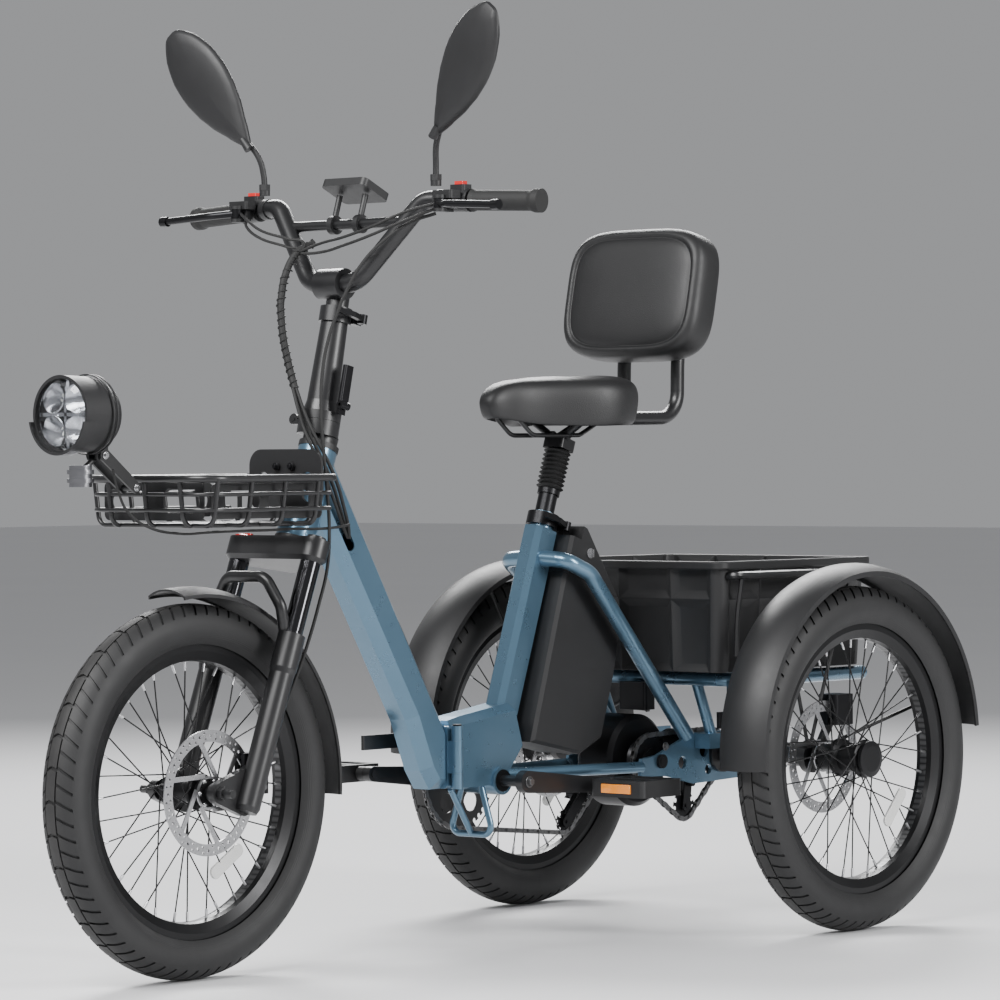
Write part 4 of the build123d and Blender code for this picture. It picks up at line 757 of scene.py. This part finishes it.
# mirrors: domed shells with glass on the rider's side
mirrorLook = {
    "neck": Vector((0.197, -0.250, 1.222)), "tip": Vector((0.314, -0.276, 1.374)), "segments": 48,
    "halfWidths": (0.011, 0.024, 0.036, 0.044, 0.0485, 0.049, 0.044, 0.030), "stemRadius": 0.0045,
    "shell": ((0.93, -0.001), (0.965, 0.001), (1.0, -0.002), (0.985, -0.007), (0.90, -0.0105), (0.72, -0.013),
              (0.48, -0.015), (0.22, -0.016)),
    "glass": ((0.91, 0.0004), (0.93, 0.0001), (0.93, -0.0015)),
}


def mirrorWidth(along):
    # half width from the neck to the tip, rounded off at both ends
    stops = mirrorLook["halfWidths"]
    place = min(max(along, 0), 0.9999) * (len(stops) - 1)
    k = int(place)
    part = place - k
    part = part * part * (3 - 2 * part) * 0.4 + part * 0.6
    return stops[k] + (stops[k + 1] - stops[k]) * part


for sign, side in ((1, "left"), (-1, "right")):
    neck, tip = [Vector((sign * p.x, p.y, p.z)) for p in (mirrorLook["neck"], mirrorLook["tip"])]
    span = (tip - neck).normalized()
    rearward = Vector((sign * 0.1, 1, 0.08))
    rearward = (rearward - span * rearward.dot(span)).normalized()
    across = span.cross(rearward)
    low, high = neck - span * 0.012, tip + span * 0.020

    def mirrorSpot(turn, scale, depth):
        along = 0.5 - 0.5 * math.cos(turn)
        wide = mirrorWidth(along) * math.copysign(abs(math.sin(turn)) ** 0.55, math.sin(turn))
        middle = (low + high) / 2 + span * ((high - low).length * 0.06)
        spot = low + (high - low) * along + across * wide
        return middle + (spot - middle) * scale + rearward * depth

    bm = bmesh.new()
    loft(bm, mirrorSpot, mirrorLook["shell"], mirrorLook["segments"])
    foot = Vector((sign * 0.174, -0.236, 1.148))
    stem = [foot, foot + Vector((sign * 0.001, -0.001, 0.022)), foot + Vector((sign * 0.006, -0.006, 0.048)),
            neck - span * 0.008, neck + span * 0.012 - rearward * 0.006]
    tubeInto(bm, stem, mirrorLook["stemRadius"], 12)
    prism(bm, facing(foot - Vector((0, 0, 0.001)), (0, 0, 1), (0, 1, 0)), 6, 0.0085, 0.009)
    prism(bm, facing(neck - span * 0.016 - rearward * 0.008, span), 16, 0.0075, 0.020, 0.0055)
    mirror = f"mirror_{side}"
    piece(f"mirrorShell{side.title()}", bm, "mouldedBlack", mirror, [mirror], creases=50)
    bm = bmesh.new()
    loft(bm, mirrorSpot, mirrorLook["glass"], mirrorLook["segments"])
    piece(f"mirrorGlass{side.title()}", bm, "mirrorGlass", f"mirror_{side}", creases=30)
print("mirrors done")

# cables: the wrapped bundle from the bars, loose leads down to the frame's port, hose and lamp lead
cableLook = {"bundle": 0.0056, "lead": 0.0026, "hose": 0.0025, "lamp": 0.0020, "wrapPitch": 0.011}
bundleRoute = [
    (-34, -276, 1062), (-42, -303, 1048), (-47, -325, 1012), (-46, -336, 970), (-40, -338, 926),
    (-30, -337, 884), (-14, -340, 846), (8, -347, 812), (30, -351, 780), (45, -341, 744),
    (49, -322, 706), (47, -306, 672), (41, -290, 644), (34, -278, 626),
]
hoseRoute = [
    (188, -252, 1098), (162, -276, 1086), (130, -300, 1060), (98, -318, 1022), (74, -332, 972),
    (58, -344, 916), (52, -352, 858), (52, -354, 800), (55, -351, 744), (60, -350, 690),
    (66, -353, 636), (69, -361, 584), (70, -381, 530), (69, -402, 478), (66, -424, 428),
    (60, -446, 382), (50, -462, 350), (42, -472, 325.5),
]
lampRoute = [
    (52, -296, 646), (60, -326, 643), (61, -372, 641), (63, -424, 642), (64, -480, 641),
    (63, -536, 641), (60, -592, 640), (50, -644, 639), (34, -686, 648), (20, -714, 670),
    (19, -732, 700), (21, -744, 730),
]


def inMetres(route):
    return [Vector(point) / 1000 for point in route]


def cablePiece(name, parts, bodies, replaces=()):
    # tubes that ride on one body, or, given two bodies, stay loose in place
    bm = bmesh.new()
    for route, radius in parts:
        tubeInto(bm, route, radius, 12)
    thing = piece(name, bm, "gripRubber", None if len(bodies) > 1 else bodies[0], replaces, creases=60)
    if len(bodies) > 1:
        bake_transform(thing)
    return thing


bundle = inMetres(bundleRoute)


def wrapped(route, radius, pitch):
    # a spiral wrap laid round a route
    line = []
    for a, b in zip(route, route[1:]):
        for k in range(10):
            line.append(a + (b - a) * k / 10)
    line.append(route[-1])
    spiral, walked = [], 0.0
    for a, b in zip(line, line[1:]):
        heading = (b - a).normalized()
        sideways = heading.cross(Vector((1, 0, 0.1))).normalized()
        other = heading.cross(sideways)
        steps = 3
        for k in range(steps):
            turn = (walked + (b - a).length * k / steps) / pitch * math.tau
            spiral.append(a + (b - a) * k / steps + (sideways * math.cos(turn) + other * math.sin(turn)) * radius)
        walked += (b - a).length
    return spiral


upper, lower = bundle[:4], bundle[3:7]
cablePiece("bundleAtBars", [(upper, cableLook["bundle"]), (wrapped(upper, 0.0058, cableLook["wrapPitch"]), 0.0012)],
           ["bars", "handlepost"], replaces=["control_cables"])
cablePiece("bundleAtPost", [(lower, cableLook["bundle"]), (wrapped(lower, 0.0058, cableLook["wrapPitch"]), 0.0012)],
           ["handlepost", "steering"])
leads = []
for k, offset in enumerate((Vector((0.003, 0, 0)), Vector((-0.003, 0.001, 0)), Vector((0, -0.004, 0)))):
    route = [bundle[6] + offset]
    for point, away in zip(bundle[7:-1], (0.4, 0.9, 1.2, 1.2, 0.8, 0.4)):
        route.append(point + offset * (1 + away * (k + 0.4)))
    route.append(bundle[-1] + offset * 0.5)
    leads.append((route, cableLook["lead"]))
cablePiece("leadsToFrame", leads, ["steering", "front_frame"])

hose = inMetres(hoseRoute)
cablePiece("brakeHoseTop", [(hose[:5], cableLook["hose"])], ["bars", "handlepost"])
cablePiece("brakeHoseMiddle", [(hose[4:8], cableLook["hose"])], ["handlepost", "steering"])
cablePiece("brakeHoseFoot", [(hose[7:], cableLook["hose"])], ["steering", "fork_lowers"])
lampLead = inMetres(lampRoute)
cablePiece("lampLead", [(lampLead, cableLook["lamp"])], ["front_frame"])

# short leads from the switch pods and brakes into the bundle
podLeads = []
for s in (-1, 1):
    for k, drop in enumerate((0.0, 0.012)):
        route = [Vector((s * 0.200, -0.262 + 0.012 * k, 1.1125 - 0.004 * k)),
                 Vector((s * 0.160, -0.288, 1.100 - drop)),
                 Vector((s * 0.115, -0.304, 1.082 - drop)), Vector((s * 0.060, -0.306, 1.068 - drop)),
                 Vector((-0.022 + s * 0.012, -0.296, 1.058 - drop)),
                 bundle[1] + Vector((s * 0.002, 0.001, -0.002 * k))]
        podLeads.append((route, cableLook["lead"] - 0.0004))
bm = bmesh.new()
for route, radius in podLeads:
    tubeInto(bm, route, radius, 12)
piece("podLeads", bm, "gripRubber", "bars", creases=60)
print("cables done")

# pedals get their amber reflectors, and the display its screen
for side in ("left", "right"):
    low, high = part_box(f"pedal_{side}")
    bm = bmesh.new()
    middleX = (max(abs(low.x), abs(high.x)) - 0.0525) * (1 if side == "left" else -1)
    for y in (low.y - 0.0004, high.y + 0.0004):
        slab = Matrix.Translation((middleX, y, (low.z + high.z) / 2)) @ Matrix.Diagonal((0.058, 0.0042, 0.014, 1))
        bmesh.ops.create_cube(bm, size=1.0, matrix=slab)
    piece(f"pedalReflectors{side.title()}", bm, "amberPrism", f"pedal_{side}", bevel=0.0008)
# clear reflectors clipped across the spokes, one leaf a wheel
reflectorLook = {"middle": 0.122, "long": 0.072, "wide": 0.019, "thick": 0.0045}


def addReflector(name, axle, body, x, turn):
    spot = axle + Vector((x, reflectorLook["middle"] * math.cos(turn), reflectorLook["middle"] * math.sin(turn)))
    bm = bmesh.new()
    shape = Matrix.Diagonal((reflectorLook["wide"], reflectorLook["long"], reflectorLook["thick"], 1))
    heading = facing(spot, (1, 0, 0), Vector((0, math.sin(turn), -math.cos(turn))))
    bmesh.ops.create_cube(bm, size=1.0, matrix=heading @ shape)
    uprights = [e for e in bm.edges if abs((e.verts[0].co - e.verts[1].co).x) > reflectorLook["thick"] * 0.9]
    bmesh.ops.bevel(bm, geom=uprights, offset=0.0085, segments=5, profile=0.5, affect="EDGES", material=-1)
    piece(name, bm, "paleReflector", body, bevel=0.0008)


addReflector("reflectorFront", frontAxle, "front_wheel", 0.013, math.radians(-58))
for s, side in ((1, "left"), (-1, "right")):
    addReflector(f"reflectorRear{side.title()}", rearAxle + Vector((s * halfTrack, 0, 0)), f"rear_wheel_{side}",
                 s * 0.013, math.radians(-42))

bm = bmesh.new()
displayTilt = Vector((0, 0.42, 0.91)).normalized()
tray = facing(Vector((0, -0.222, 1.140)) + displayTilt * 0.0061, displayTilt, (0, 1, 0))
bmesh.ops.create_cube(bm, size=1.0, matrix=tray @ Matrix.Diagonal((0.074, 0.046, 0.0012, 1)))
piece("displayScreen", bm, "screenGlass", "bars", bevel=0.0004)
print("trim done")


# bolts: a washer and a hexagon head each
def bolt(bm, point, direction, size):
    prism(bm, facing(point, direction), 20, size * 1.35, size * 0.28)
    prism(bm, facing(point, direction), 6, size, size * 0.95, size * 0.92)


def boltSet(name, body, spots, size, finish="darkSteel"):
    bm = bmesh.new()
    for point, direction in spots:
        bolt(bm, Vector(point), Vector(direction), size)
    piece(name, bm, finish, body, bevel=0.0004)


def boltCircle(centre, x, radius, side):
    # six bolts round a hub, all facing the same side
    spots = []
    for k in range(6):
        turn = k * math.pi / 3
        spots.append((centre + Vector((x, radius * math.cos(turn), radius * math.sin(turn))), (side, 0, 0)))
    return spots


boltSet("frontRotorBolts", "front_wheel", boltCircle(frontAxle, 0.0441, 0.0185, 1), 0.0024, "brightSteel")
for s, side in ((1, "left"), (-1, "right")):
    ring = boltCircle(rearAxle, s * 0.2841, 0.0215, s)
    boltSet(f"rearRotorBolts{side.title()}", f"rear_wheel_{side}", ring, 0.0022, "brightSteel")
plateSpots = ((0.400, 0.285), (0.560, 0.290), (0.585, 0.245))
armSpots = ((-0.752, 0.750), (-0.692, 0.704))
caliperSpots = ((-0.507, 0.312), (-0.478, 0.272))
bothSides = (-1, 1)
boltSet("plateBolts", "rear_frame", [
    ((s * 0.0782, y, z), (s, 0, 0)) for s in bothSides for y, z in plateSpots
], 0.005)
boltSet("basketPlateBolts", "front_frame", [
    ((s * 0.015, -0.381, 0.732), (0, -1, 0)) for s in bothSides
], 0.0042, "anodised")
boltSet("lampArmBolts", "front_frame", [
    ((s * 0.0152, y, z), (s, 0, 0)) for s in bothSides for y, z in armSpots
], 0.0042, "brightSteel")
boltSet("caliperBolts", "fork_lowers", [((0.0524, y, z), (1, 0, 0)) for y, z in caliperSpots], 0.0036)
boltSet("crankBolts", "crankset", [
    ((s * 0.0881, crankAxle.y, crankAxle.z), (s, 0, 0)) for s in bothSides
], 0.0065)
print("bolts done")

# floor, light and camera
floorMesh = bmesh.new()
bmesh.ops.create_grid(floorMesh, x_segments=1, y_segments=1, size=30.0)
floorData = bpy.data.meshes.new("floor")
floorMesh.to_mesh(floorData)
floorMesh.free()
paleFloor = Shade("paleFloor")
paleFloor.put("Base Color", paleFloor.mix(paleFloor.noise(0.8), (0.66, 0.66, 0.67), (0.70, 0.70, 0.71)))
paleFloor.put("Roughness", 0.45)
floorData.materials.append(paleFloor.material)
floor = bpy.data.objects.new("floor", floorData)
bpy.context.scene.collection.objects.link(floor)

world = bpy.data.worlds.new("studio")
bpy.context.scene.world = world
world.use_nodes = True
world.node_tree.nodes["Background"].inputs["Color"].default_value = (0.80, 0.81, 0.83, 1)
world.node_tree.nodes["Background"].inputs["Strength"].default_value = 0.42


def softLight(name, position, target, size, power):
    data = bpy.data.lights.new(name, "AREA")
    data.shape, data.size, data.size_y, data.energy = "RECTANGLE", size[0], size[1], power
    lamp = bpy.data.objects.new(name, data)
    aim = (Vector(position) - Vector(target)).to_track_quat("Z", "Y")
    lamp.matrix_world = Matrix.Translation(position) @ aim.to_matrix().to_4x4()
    bpy.context.scene.collection.objects.link(lamp)


middleOfAll = (0, 0, 0.6)
softLight("keyLight", (0.2, -3.2, 3.4), middleOfAll, (3.0, 1.2), 300)
softLight("fillLight", (4.4, 0.6, 2.4), middleOfAll, (1.2, 2.6), 230)
softLight("backLight", (-2.6, 3.0, 3.2), middleOfAll, (3.2, 1.2), 330)

cameraLook = {"azimuth": 41.3448, "elevation": 0.6237, "distance": 6.9146, "roll": -0.3778,
              "target": Vector((0.1041, -0.020, 0.6786)), "lens": 165.59}
azimuth, elevation, roll = [math.radians(cameraLook[key]) for key in ("azimuth", "elevation", "roll")]
level = math.cos(elevation)
back = Vector((math.sin(azimuth) * level, -math.cos(azimuth) * level, math.sin(elevation)))
right = Vector((0, 0, 1)).cross(back).normalized()
up = back.cross(right)
rolledRight = right * math.cos(roll) + up * math.sin(roll)
rolledUp = up * math.cos(roll) - right * math.sin(roll)
cameraData = bpy.data.cameras.new("camera")
cameraData.lens, cameraData.sensor_width = cameraLook["lens"], 36.0
camera = bpy.data.objects.new("camera", cameraData)
camera.matrix_world = (
    Matrix.Translation(cameraLook["target"] + back * cameraLook["distance"])
    @ Matrix((rolledRight, rolledUp, back)).transposed().to_4x4()
)
bpy.context.scene.collection.objects.link(camera)
bpy.context.scene.camera = camera
